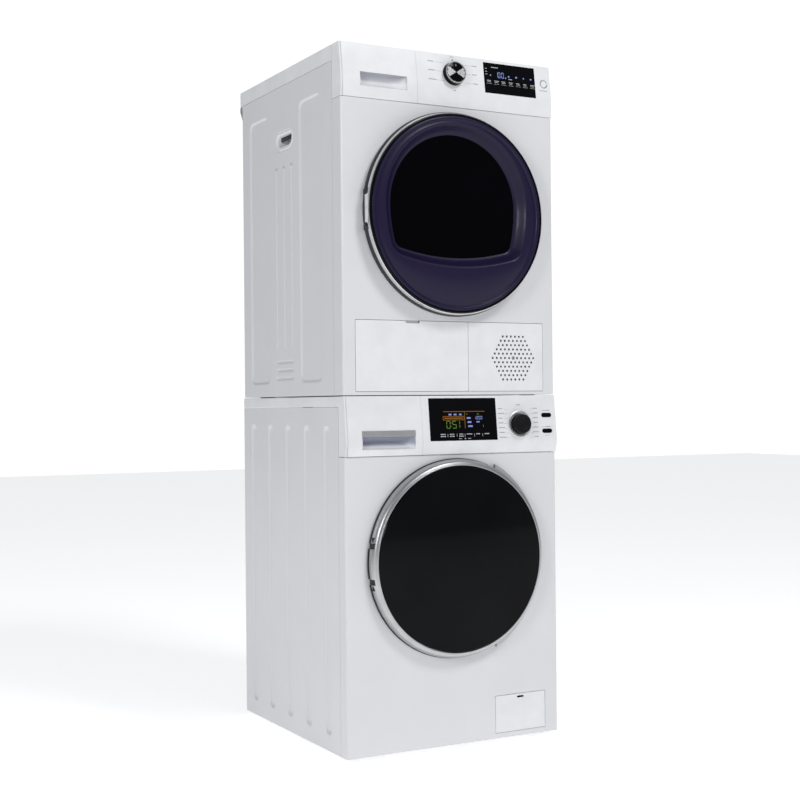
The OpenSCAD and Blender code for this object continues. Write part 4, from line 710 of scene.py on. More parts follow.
def pressed_sides(name, node, y0, y1, z0, z1, depth_at, cuts_y, cuts_z, open_at=None):
    """Both side panels of a cabinet, pressed from sheet with folded edges."""
    bm = bmesh.new()
    bmesh.ops.create_grid(bm, x_segments=1, y_segments=1, size=0.5)
    bmesh.ops.transform(bm, verts=bm.verts[:], matrix=Matrix.Translation(((y0 + y1) / 2, (z0 + z1) / 2, 0))
                        @ Matrix.Diagonal((y1 - y0, z1 - z0, 1, 1)))
    for axis, cuts, low, high in ((0, cuts_y, y0, y1), (1, cuts_z, z0, z1)):
        for cut in sorted({round(c, 2) for c in cuts if low + 0.5 < c < high - 0.5}):
            bmesh.ops.bisect_plane(bm, geom=bm.verts[:] + bm.edges[:] + bm.faces[:], dist=1e-4,
                                   plane_co=(cut, 0, 0) if axis == 0 else (0, cut, 0),
                                   plane_no=(1, 0, 0) if axis == 0 else (0, 1, 0))
    rim = [e for e in bm.edges if e.is_boundary]
    if open_at:
        gone = [f for f in bm.faces if open_at(f.calc_center_median().x, f.calc_center_median().y)]
        bmesh.ops.delete(bm, geom=gone, context="FACES")
    for v in bm.verts:
        v.co.z = -depth_at(v.co.x, v.co.y)
    folded = bmesh.ops.extrude_edge_only(bm, edges=rim)
    lip = [g for g in folded["geom"] if isinstance(g, bmesh.types.BMVert)]
    bmesh.ops.translate(bm, vec=(0, 0, -FOLD), verts=lip)
    bmesh.ops.transform(bm, matrix=side_place(1, 0, 0), verts=bm.verts[:])
    if sum(f.normal.x * f.calc_area() for f in bm.faces) < 0:
        bmesh.ops.reverse_faces(bm, faces=bm.faces[:])
    copy = bmesh.ops.duplicate(bm, geom=bm.verts[:] + bm.edges[:] + bm.faces[:])["geom"]
    bmesh.ops.scale(bm, vec=(-1, 1, 1), verts=[g for g in copy if isinstance(g, bmesh.types.BMVert)])
    bmesh.ops.reverse_faces(bm, faces=[g for g in copy if isinstance(g, bmesh.types.BMFace)])
    piece = finish_piece(name, bm, "white_paint", "cabinets", (node,), sharp=math.radians(50),
                         recalculate=False, weighted=True)
    sheet = piece.modifiers.new("sheet", "SOLIDIFY")
    sheet.thickness = SHEET
    sheet.offset = -1
    piece.modifiers.move(1, 0)
    return piece


class LAUNDRY_OT_washer_sides(bpy.types.Operator):
    """Press the washer's side panels with their five beads"""
    bl_idname = "laundry.washer_sides"
    bl_label = "Washer Sides"

    def execute(self, context):
        s = context.scene.laundry_sizes
        low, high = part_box("washer_side_panels")
        y0, y1 = low.y * 1000 - FRONT, high.y * 1000 - FRONT
        z0, z1 = low.z * 1000, high.z * 1000
        first, behind_last, count, half = 98, 68.8, 5, 18
        pitch = (y1 - (first + behind_last)) / (count - 1)
        beads = [first + k * pitch for k in range(count)]
        b0, b1 = z0 + 38, z1 - 44

        def depth_at(y, z):
            best = max(box_inside(y - c, z - (b0 + b1) / 2, half, (b1 - b0) / 2, half) for c in beads)
            return s.bead_depth * smooth(best / s.bead_slope)

        cuts_y = [c for b in beads for c in span_cuts(b - half, b + half, s.bead_slope) + [b]]
        cuts_z = span_cuts(b0, b0 + 2 * half, half, 9) + span_cuts(b1 - 2 * half, b1, half, 9)
        cuts_z += [z0 + 200, z0 + 400, z0 + 600]
        pressed_sides("washer_sides", "washer_side_panels", y0, y1, z0, z1, depth_at, cuts_y, cuts_z)
        return {"FINISHED"}


def grip_outline(grow, lift=0.0):
    """D-shaped outline of a hand grip: flat top, round bottom."""
    y, z, half, up, down = GRIP
    low, high = z - down - grow + lift, z + up + grow
    reach = min(30 + grow, (high - low) * 0.72)
    front, back = y - half - grow, y + half + grow
    return rounded([(front, low), (back, low), (back, high), (front, high)],
                   [reach, reach, 8 + grow * 0.8, 8 + grow * 0.8], 8)


class LAUNDRY_OT_dryer_sides(bpy.types.Operator):
    """Press the dryer's side panels with their recesses, ribs, louvres and hand grips"""
    bl_idname = "laundry.dryer_sides"
    bl_label = "Dryer Sides"

    def execute(self, context):
        s = context.scene.laundry_sizes
        low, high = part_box("dryer_side_panels")
        y0, y1 = low.y * 1000 - FRONT, high.y * 1000 - FRONT
        z0, z1 = low.z * 1000, high.z * 1000
        recesses, r0, r1, half, corner = (180, 500), z0 + 32, z1 - 58, 65, 24
        ribs, rib_half, rib_z, rib_tall, rib_deep = (290, 337.5, 385), 5, 1208.5, 233, 1.4
        louvres, louvre_y0, louvre_y1, louvre_top, louvre_deep = (901, 922, 943), 287, 393, 11, 3.2
        dish_half, dish_tall, dish_corner, dish_slope, dish_deep, dish_drop = 55, 27, 26, 3, 1.8, 3
        gy, gz, grip_half = GRIP[:3]

        def depth_at(y, z):
            deep = 0.0
            for c in recesses:
                inside = box_inside(y - c, z - (r0 + r1) / 2, half, (r1 - r0) / 2, corner)
                deep = max(deep, s.bead_depth * smooth(inside / s.recess_slope))
            for c in ribs:
                inside = box_inside(y - c, z - rib_z, rib_half, rib_tall, rib_half)
                deep = max(deep, rib_deep * smooth(inside / 4))
            for c in louvres:
                if louvre_y0 <= y <= louvre_y1 and c <= z <= c + louvre_top:
                    ends = smooth((y - louvre_y0) / 5) * smooth((louvre_y1 - y) / 5)
                    across = smooth((z - c) / 9) if z <= c + 9 else smooth((c + louvre_top - z) / 2)
                    deep = max(deep, louvre_deep * ends * across)
            inside = box_inside(y - gy, z - gz + dish_drop, dish_half, dish_tall, dish_corner)
            return max(deep, dish_deep * smooth(inside / dish_slope))

        def open_at(y, z):
            return box_inside(y - gy, z - gz + dish_drop, grip_half + 4, 18, 16) > 0

        cuts_y = [c for b in recesses for slope, steps in ((s.recess_slope, 5), (corner, 8))
                  for c in span_cuts(b - half, b + half, slope, steps)]
        cuts_y += [b + step for b in ribs for step in (-5, -3.7, -2.3, -1, 0, 1, 2.3, 3.7, 5)]
        cuts_y += span_cuts(louvre_y0, louvre_y1, 5, 3) + span_cuts(gy - grip_half - 4, gy + grip_half + 4, 15, 5)
        cuts_y += span_cuts(gy - dish_half, gy + dish_half, dish_slope, 3)
        cuts_y += span_cuts(gy - dish_half, gy + dish_half, dish_corner, 8)
        cuts_z = span_cuts(r0, r1, s.recess_slope) + span_cuts(r0, r1, corner, 8)
        cuts_z += [z + step for z in louvres for step in (0, 2, 4, 6, 8, 9, 10, 11)]
        for slope, steps in ((dish_slope, 3), (dish_corner, 8)):
            cuts_z += span_cuts(gz - dish_drop - dish_tall, gz - dish_drop + dish_tall, slope, steps)
        # The round ends of the ribs, and two cuts between them
        cuts_z += [975.5, 977, 979, 981, 1436, 1438, 1440, 1441.5, 1100, 1300] + span_cuts(gz - 24, gz + 14, 16, 6)
        pressed_sides("dryer_sides", "dryer_side_panels", y0, y1, z0, z1, depth_at, cuts_y, cuts_z, open_at)
        self.grips()
        bm = bmesh.new()
        for side in (1, -1):
            for y in ribs:
                slab(bm, circle_points(2.4, 10, y, 1447), -0.6, 0.0, 0, 1, side_place(side, 0, 0))
        finish_piece("dryer_rib_dimples", bm, "grey_plastic", "cabinets")
        return {"FINISHED"}

    def grips(self):
        """Moulded hand grips, one on each side."""
        bm = bmesh.new()
        for side in (1, -1):
            steps = [(10, 0, -1.9), (9.8, 0, -0.8), (8.6, 0, -0.1), (6.6, 0, 0.0), (4.8, 0, -0.2), (3.8, 0, -1.0),
                     (1.6, 0, -1.1), (0.3, 0, -1.6), (0, 0, -3), (-0.8, 0.6, -8), (-1.4, 2, -14), (-2.2, 4, -20),
                     (-3, 7, -26), (-4, 9, -29)]
            stacked_loops(bm, [[side_place(side, 0, 0) @ Vector((a, b, out)) for a, b in grip_outline(grow, lift)]
                               for grow, lift, out in steps])
        finish_piece("dryer_grips", bm, "white_plastic", "cabinets")
        bm = bmesh.new()
        y, z, half, up = GRIP[:4]
        low, high = z + up - 13, z + up - 1.5
        outline = rounded([(y - half + 3, low), (y + half - 3, low), (y + half - 2, high), (y - half + 2, high)],
                          [9, 5, 4, 4], 4)
        for side in (1, -1):
            slab(bm, outline, -10, -8.5, 0, 1, side_place(side, 0, 0))
        finish_piece("dryer_grip_slots", bm, "dark_plastic", "cabinets")


# ---------- fronts and worktops ----------

class LAUNDRY_OT_fronts(bpy.types.Operator):
    """Finish the folded front panels and the worktops"""
    bl_idname = "laundry.fronts"
    bl_label = "Fronts and Worktops"

    def execute(self, context):
        for node in ("washer_front_panel", "dryer_front_panel"):
            softened(node, "white_paint", 0.35, 2)
        softened("washer_worktop", "worktop_white", 2.0, 3)
        low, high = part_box("dryer_worktop")
        y0, y1 = low.y * 1000 - FRONT, high.y * 1000 - FRONT
        bm = bmesh.new()
        outline = rounded([(-HALF, y0), (HALF, y0), (HALF, y1), (-HALF, y1)], [0.6, 0.6, 26, 26], 8)
        slab(bm, outline, low.z * 1000, high.z * 1000, 3.2, 4,
             Matrix.Translation(at(0, 0, 0)) @ Matrix.Scale(0.001, 4))
        finish_piece("dryer_top", bm, "worktop_white", "cabinets", ("dryer_worktop",),
                     weighted=True)
        return {"FINISHED"}


def console_rim(node):
    """Test for the edges along a console's ends, top and bottom."""
    low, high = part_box(node)

    def chosen(edge):
        return all(min(abs(v.co[axis] - end[axis]) for axis in (0, 2) for end in (low, high)) < 0.0002
                   for v in edge.verts)
    return chosen


# ---------- controls ----------

def knob_cap(name, place, profile, coat, body, nodes):
    """A turned cap whose profile starts and ends on its axis."""
    turned_on(name, place, profile, coat, body, nodes, closed=False, steps=96)


class LAUNDRY_OT_washer_controls(bpy.types.Operator):
    """Build the washer's console, display, knob and buttons"""
    bl_idname = "laundry.washer_controls"
    bl_label = "Washer Controls"

    def execute(self, context):
        face = WASHER_FACE
        softened("washer_console", "white_plastic", 1.2, 3,
                 console_rim("washer_console"), clamp=False)
        softened("washer_display", "black_gloss", 0.5, 2)
        self.display(face)
        self.labels(face)
        place = face_place(face, *WASHER_KNOB)
        turned_on("washer_bezel", place, [
            (26.9, -0.5), (26.9, 1.6), (27.6, 2.5), (29.0, 2.9), (31.5, 2.8), (34.2, 1.9), (35.3, 0.9), (35.5, 0.0),
            (35.5, -0.5)], "pull_metal", "cabinets")
        knob_cap("washer_knob_cap", place, [
            (0, 19.2), (17.2, 19.2), (17.7, 19.5), (18.2, 19.9), (20.8, 19.9), (22.2, 19.4), (23.2, 18.2),
            (23.7, 16.4), (24.3, 9.0), (24.8, 5.0), (25.5, 3.4), (25.5, 0.8), (0, 0.8)],
            "knob_black", "washer_knob", ("washer_knob",))
        for name, spot in WASHER_BUTTONS.items():
            bm = bmesh.new()
            slab(bm, rounded(rectangle(29, 10.4), 5.0, 8), -3.0, 1.5, 0.9, 3, face_place(face, *spot))
            finish_piece(name + "_cap", bm, "black_gloss", body_of(name), (name,), weighted=True)
        return {"FINISHED"}

    def display(self, face):
        """Lit marks on the display: amber lines, green digits, blue symbols and white print."""
        marks("washer_amber_lines", face, [(27.5, 820, 117, 1.4), (-3, 808.3, 60, 1.3), (-3, 799.7, 60, 1.3),
              (-32.4, 804, 1.3, 9.8), (26.4, 804, 1.3, 9.8), (28.6, 799.5, 1.3, 41)], "amber_light")
        marks("washer_amber_fill", face, [(-3, 804, 52, 2.6)], "amber_light", lift=0.1)
        green = []
        for figure, x in (("0", -24), ("5", -7), ("1", 3)):
            green += digit(figure, x, 779, 11, 18.6, 1.5)
        green += [(-10.2, 792.5, 1.5, 1.8), (-10.2, 784, 1.5, 1.8), (35, 813.5, 3.4, 1.6), (67, 813.5, 5, 1.6)]
        marks("washer_green_digits", face, green, "green_light")
        blue = [(-12.5, 812.8, 8, 3.8), (2, 812.8, 8, 3.8), (16.6, 812.8, 7, 3.8), (40, 804, 11, 3.8),
                (41.5, 794, 11, 4), (43.5, 784, 13, 4), (66, 794.4, 9, 3.2)]
        for k, figure in enumerate("1200"):
            blue += digit(figure, 55.5 + 6.2 * k, 800.2, 4.6, 8.2, 1.1)
        blue += digit("1", 78, 780.5, 3, 7, 1.1)
        marks("washer_blue_marks", face, blue, "blue_light")
        rng = random.Random(11)
        white = []
        for x0, x1 in ((-42, -27), (-16, -4), (11, 21), (32, 48), (59, 71), (83, 96)):
            white += words(rng, x0, x1, 765, 2.4)
        for x0, x1 in ((-42, -26), (-16, -3), (10, 22)):
            white += words(rng, x0, x1, 760, 2.4)
        white += [(x, 762.4, 0.7, 7.6) for x in (-22, 4, 26.5, 53.5, 77)]
        white += words(rng, 9, 17, 754, 1.6) + [(27, 754, 3.4, 2.6)] + words(rng, 35, 43, 754, 1.6)
        marks("washer_white_marks", face, white, "white_light")

    def labels(self, face):
        """Printed bars and leader lines round the knob and the buttons."""
        rng = random.Random(5)
        spots = words(rng, 181, 194, 835, 2.1)
        lines = []
        for k in range(7):
            z = 826 - 11.8 * k
            width = 11 if k in (0, 6) else 13
            spots += words(rng, 126, 141 + rng.uniform(-2, 4), z, 2.2)
            spots += words(rng, 228 + rng.uniform(-2, 3), 243, z, 2.2)
            lines += [(148.5, z - 1.6, width, 0.5), (223.5, z - 1.6, 8, 0.5)]
        for x0, x1, z, h in ((258, 279, 820.5, 2.1), (263, 279, 779.5, 2.1), (262, 276, 757.5, 1.2)):
            spots += words(rng, x0, x1, z, h)
        spots += [(256, 779.5, 2, 2.2)]
        marks("washer_label_bars", face, spots, "pale_print", lift=0.05)
        marks("washer_leader_lines", face, lines, "pale_print", lift=0.04)


class LAUNDRY_OT_dryer_controls(bpy.types.Operator):
    """Build the dryer's console, display, dial and button"""
    bl_idname = "laundry.dryer_controls"
    bl_label = "Dryer Controls"

    def execute(self, context):
        face = DRYER_FACE
        softened("dryer_console", "white_plastic", 1.4, 3,
                 console_rim("dryer_console"), clamp=False)
        softened("dryer_display", "black_gloss", 0.5, 2)
        self.display(face)
        self.labels(face)
        place = face_place(face, *DRYER_KNOB)
        knob_cap("dryer_knob_cap", place, [
            (0, 15.4), (24.2, 15.4), (25.2, 15.2), (26.2, 14.6), (27.7, 12.6), (28.3, 8.0), (28.5, 3.6), (29, 2.6),
            (29, 0.8), (0, 0.8)], "black_gloss", "dryer_knob", ("dryer_knob",))
        turned_on("dryer_knob_ring", place, [
            (24.6, 15.3), (25.0, 16.3), (25.9, 16.8), (26.9, 16.4), (27.5, 15.2), (27.5, 13.0), (26.0, 14.2)],
            "knob_metal", "dryer_knob", steps=96)
        # Two silver wedges, left and right on the black cap, stand for the bow-tie reflection of a spun metal face:
        # painted highlight
        bm = bmesh.new()
        tip, reach, spread = 0.6, 24.1, 33
        for turn in (0, math.pi):
            fan = [(tip * math.cos(turn), tip * math.sin(turn))]
            for k in range(17):
                a = turn + math.radians(-spread + 2 * spread * k / 16)
                fan.append((reach * math.cos(a), reach * math.sin(a)))
            slab(bm, fan, 15.3, 15.9, 0.25, 1, place)
        finish_piece("dryer_knob_wedges", bm, "knob_metal", "dryer_knob")
        bm = bmesh.new()
        slab(bm, rounded(rectangle(1.6, 5.0, 0, 17.5), 0.7, 3), 15.3, 15.7, place=place)
        finish_piece("dryer_knob_tick", bm, "silver_print", "dryer_knob")
        place = face_place(face, *DRYER_BUTTON)
        turned_on("dryer_power_ring", place, [
            (8.95, -0.5), (8.95, 1.0), (9.5, 1.6), (10.4, 1.6), (11.2, 0.9), (11.4, -0.5)],
            "knob_metal", "cabinets")
        knob_cap("dryer_power_cap", place, [
            (0, 1.0), (4.5, 1.1), (7.2, 1.5), (8.2, 1.2), (8.6, 0.4), (8.6, -3), (0, -3)],
            "white_plastic", "dryer_power_button", ("dryer_power_button",))
        return {"FINISHED"}

    def display(self, face):
        """Lit marks on the display: blue digits and symbols, white print."""
        blue = []
        for x, figure in ((134, "1"), (141, "0"), (151, "0")):
            blue += digit(figure, x, 1650, 7.5, 14.5, 1.4)
        blue += [(147.6, 1660, 1.3, 1.5), (147.6, 1654, 1.3, 1.5), (163.5, 1651.5, 3.2, 3.4)]
        blue += [(119.5, 1655, 3.6, 3.4), (173, 1656, 4, 4.5), (195.5, 1656.5, 5, 4), (217, 1656, 3.4, 3.4),
                 (239, 1656, 5, 3.6)]
        marks("dryer_blue_marks", face, blue, "blue_light")
        rng = random.Random(23)
        white = words(rng, 123, 143, 1675.5, 2.2, 1.0)
        for z in (1671, 1663.5, 1657):
            white += words(rng, 104.5, 110.5, z, 1.5, 0.8)
        white += words(rng, 172, 184, 1649.5, 1.8, 0.9)
        for k in range(7):
            x = 108 + k * 21.4
            white += words(rng, x, x + 12 + rng.uniform(-2, 2), 1641, 1.7, 0.9)
            white += words(rng, x + 1, x + 11, 1637.6, 1.4, 0.9)
            white += [(x + 6, 1633.2, 15, 0.5)]
        marks("dryer_white_marks", face, white, "white_light")

    def labels(self, face):
        """Printed bars, leader lines and the dot above the dial."""
        rng = random.Random(31)
        spots, lines = words(rng, 5, 15, 1688.5, 2.0), []
        for k, z in enumerate((1672, 1650, 1627)):
            spots += words(rng, -59, -40 + rng.uniform(-2, 2), z, 2.5)
            spots += words(rng, 66, 80 + rng.uniform(-2, 3), z, 2.5)
            middle, left, right = (-28, 20, 18) if k == 1 else (-26, 24, 22)
            lines += [(middle, z - 0.6, left, 0.5), (53, z - 0.6, right, 0.5)]
        spots += words(rng, 9, 16, 1604.5, 2.0) + words(rng, 264, 288, 1630.5, 2.3)
        marks("dryer_label_bars", face, spots, "pale_print", lift=0.05)
        marks("dryer_leader_lines", face, lines, "pale_print", lift=0.04)
        bm = bmesh.new()
        slab(bm, circle_points(1.9, 20), 0, 0.06, place=face_place(face, DRYER_KNOB[0], 1681))
        finish_piece("dryer_pointer_dot", bm, "dark_plastic", "cabinets")


# ---------- drawers ----------

def pull_scoop(name, face, x0, x1, z0, z1, deep, body, coat):
    """Liner of a finger pull: straight along the top and left, swept in at the bottom and right."""
    (ya, za), (yb, zb) = face
    bm = bmesh.new()
    steps = [(0.25, 0.25, 0.25, 0.25, 0.0, 3), (0.5, 1.4, 1.2, 0.4, 0.12, 4), (0.9, 5.0, 3.6, 0.6, 0.36, 6),
             (1.6, 12.0, 8.0, 0.9, 0.62, 8), (2.6, 22.0, 12.5, 1.4, 0.84, 8), (4.5, 33.0, 16.0, 2.2, 0.96, 7),
             (8.0, 40.0, 18.5, 4.0, 1.0, 5)]
    loops = []
    for left, right, bottom, top, part, reach in steps:
        xa, xb, low, high = x0 + left, x1 - right, z0 + bottom, z1 - top
        outline = rounded([(xa, low), (xb, low), (xb, high), (xa, high)], [reach * 0.7, reach, 1.5, 1.5], 5)
        loop = []
        for x, z in outline:
            front = ya + (z - za) * (yb - ya) / (zb - za) if z > za else ya
            loop.append(at(x, front + 0.8 + (deep - 0.8 - front - 0.8) * part, z))
        loops.append(loop)
    stacked_loops(bm, loops)
    finish_piece(name, bm, coat, body)


class LAUNDRY_OT_drawers(bpy.types.Operator):
    """Finish the detergent drawer and the water tank with their finger pulls"""
    bl_idname = "laundry.drawers"
    bl_label = "Drawers"

    def execute(self, context):
        edge = context.scene.laundry_sizes.edge
        self.front("washer_drawer_front", edge * 0.6)
        pull_scoop("washer_scoop", WASHER_FACE, -254, -112, 733, 762, 20, "washer_drawer", "washer_scoop_plastic")
        bm = bmesh.new()
        slab(bm, rounded(rectangle(144, 15), 1.2, 3), -0.2, 0.9, 0.5, 2, face_place(WASHER_FACE, -183, 769.5))
        finish_piece("washer_pull_bar", bm, "pull_metal", "washer_drawer", weighted=True)
        self.front("dryer_water_tank", edge * 0.6)
        pull_scoop("dryer_scoop", DRYER_FACE, -246, -120, 1592, 1625, 24.4, "dryer_tank", "dryer_scoop_plastic")
        return {"FINISHED"}

    def front(self, node, width):
        """Rounds a node's long edges near its face, in metres; the width is in millimetres."""
        depth, shortest = 0.012, 0.02
        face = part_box(node)[0].y + depth

        def chosen(edge):
            return all(v.co.y < face for v in edge.verts) and edge.calc_length() > shortest
        softened(node, "white_plastic", width, 3, chosen, clamp=False)


# ---------- washer door ----------

class LAUNDRY_OT_washer_door(bpy.types.Operator):
    """Build the washer's round door, its ring, glass, grip and gasket"""
    bl_idname = "laundry.washer_door"
    bl_label = "Washer Door"

    def execute(self, context):
        z = WASHER_DOOR_Z
        ring = turned("washer_ring", 0, z, [
            (218, -26.4), (225.7, -26.4), (225.8, -29.6), (226.4, -30.6), (227.6, -31.0), (229.0, -30.7), (229.8, -29.9),
            (230.2, -28.8), (231.2, -28.3), (232.6, -28.0), (234.4, -26.8), (237.0, -23.4), (239.4, -18.6), (240.7, -14.2),
            (241.0, -11.0), (240.6, -7.6), (239.4, -6.2), (236.5, -5.8), (218, -9.0)],
            "satin_silver", "washer_door", ("washer_door_ring",), steps=192)
        carve(ring, ear_rooms(WASHER_HINGE, z))
        back = turned("washer_door_back", 0, z, [
            (151.8, -8.6), (217.5, -8.6), (236.0, -5.6), (239.2, -6.0), (241.6, -6.6), (242.6, -5.6), (242.6, -4.0),
            (241.4, -3.0), (226, -3.6), (205, -3.2), (160, -3.2), (153.0, -3.6), (151.8, -4.6)],
            "dark_plastic", "washer_door", steps=192)
        carve(back, ear_rooms(WASHER_HINGE, z))
        self.glass(z)
        self.grip(z)
        self.knuckles(z)
        turned("washer_bellows", 0, z, [
            (147.6, 13.4), (149.2, 10.6), (153.8, 4.6), (158.6, 2.2), (165, 1.6), (171, 1.9), (177.3, 1.7), (177.6, 7),
            (175.8, 11.5), (177.6, 16), (177.3, 22), (172.2, 30), (173.4, 33), (183.6, 40), (187.2, 44), (187.4, 53.6),
            (184.4, 53.6), (183.9, 45.4), (176, 38.2), (168.6, 33.9), (168.5, 30), (173.9, 21.2), (173.2, 17),
            (171.6, 12), (173.6, 7.6), (173.7, 5.4), (166, 4.9), (159.6, 5.9), (155.2, 9.2), (150.8, 15.0)],
            "rubber_grey", "cabinets", ("washer_gasket",), steps=128, sharp=math.radians(60))
        return {"FINISHED"}

    def knuckles(self, z):
        """Sleeves round the hinge pins, above and below each ear."""
        x, y = WASHER_HINGE
        bore, outer = 3.1, 5
        bm = bmesh.new()
        for s in (-1, 1):
            for low, high in ((-20.5, -7.7), (7.7, 20.5)):
                profile = ((bore, low), (4.6, low), (outer, low + 0.5), (outer, high - 0.5), (4.6, high), (bore, high))
                verts, edges = loop_of(bm, [at(x + r, y, z + s * EAR_SPREAD + h) for r, h in profile])
                bmesh.ops.spin(bm, geom=verts + edges, cent=at(x, y, 0), axis=(0, 0, 1), dvec=(0, 0, 0),
                               angle=2 * math.pi, steps=24, use_merge=True)
        finish_piece("washer_door_knuckle", bm, "dark_plastic", "washer_door")

    def glass(self, z):
        """Domed glass, a shell of even thickness with a rounded rim."""
        sag, r, steps, thick = 15.0, 225.3, 16, 3.8
        big = (r * r + sag * sag) / (2 * sag)
        reaches = [r * k / steps * 0.992 for k in range(steps + 1)]
        outer = [(q, -31 - sag + big - math.sqrt(big * big - q ** 2)) for q in reaches]
        rim = [(224.6, -30.2), (225.2, -29.4), (225.3, -27.2), (224.4, -26.9)]
        inner = [(q, y + thick) for q, y in reversed(outer[:-1])]
        # Its finish is opaque near-black: tint plus painted shade for the drum behind the glass
        turned("washer_glass", 0, z, outer + rim + inner, "door_glass", "washer_door",
               ("washer_door_glass",), closed=False, steps=160)

    def grip(self, z):
        """Pull tab that stands out past the ring along the opening edge."""
        def arc(cx, r, a0, a1, count=48):
            turns = [a0 + (a1 - a0) * k / count for k in range(count + 1)]
            return [(cx + r * math.cos(a), r * math.sin(a)) for a in turns]

        # The tab lies between two circles, right of x = start
        start, back, outer, inner = 108, 16, 257, 234
        top, low = math.acos((start + back) / outer), math.acos(start / inner)
        outline = arc(-back, outer, -top, top) + arc(0, inner, low, -low)
        bm = bmesh.new()
        slab(bm, outline, 6.2, 14.2, 1.6, 3, front_place(0, 0, z))
        finish_piece("washer_pull_tab", bm, "satin_silver", "washer_door", weighted=True)


# ---------- dryer door ----------

def window_outline(r, lift, side_r, low, bottom_r, corner):
    """Arch with a round head, slightly drawn-in sides and a sagging sill; points from the top, clockwise."""
    side = (r - side_r, lift)
    sill = (0.0, low + bottom_r)
    ra, rb = side_r - corner, bottom_r - corner
    dx, dz = sill[0] - side[0], sill[1] - side[1]
    gap = math.hypot(dx, dz)
    along = (ra * ra - rb * rb + gap * gap) / (2 * gap)
    off = math.sqrt(ra * ra - along * along)
    spots = [(side[0] + (along * dx + s * off * dz) / gap, side[1] + (along * dz - s * off * dx) / gap)
             for s in (1, -1)]
    middle = min(spots, key=lambda p: p[1])
    a_side = math.atan2(middle[1] - side[1], middle[0] - side[0])
    a_sill = math.atan2(middle[1] - sill[1], middle[0] - sill[0])

    def arc(centre, radius, first, last, count, closed=0):
        turns = [first + (last - first) * k / count for k in range(count + closed)]
        return [(centre[0] + radius * math.cos(a), centre[1] + radius * math.sin(a)) for a in turns]

    half = arc((0.0, lift), r, math.pi / 2, 0.0, 20) + arc(side, side_r, 0.0, a_side, 8)
    half += arc(middle, corner, a_side, a_sill, 8) + arc(sill, bottom_r, a_sill, -math.pi / 2, 10, closed=1)
    return half + [(-x, z) for x, z in reversed(half[1:-1])]


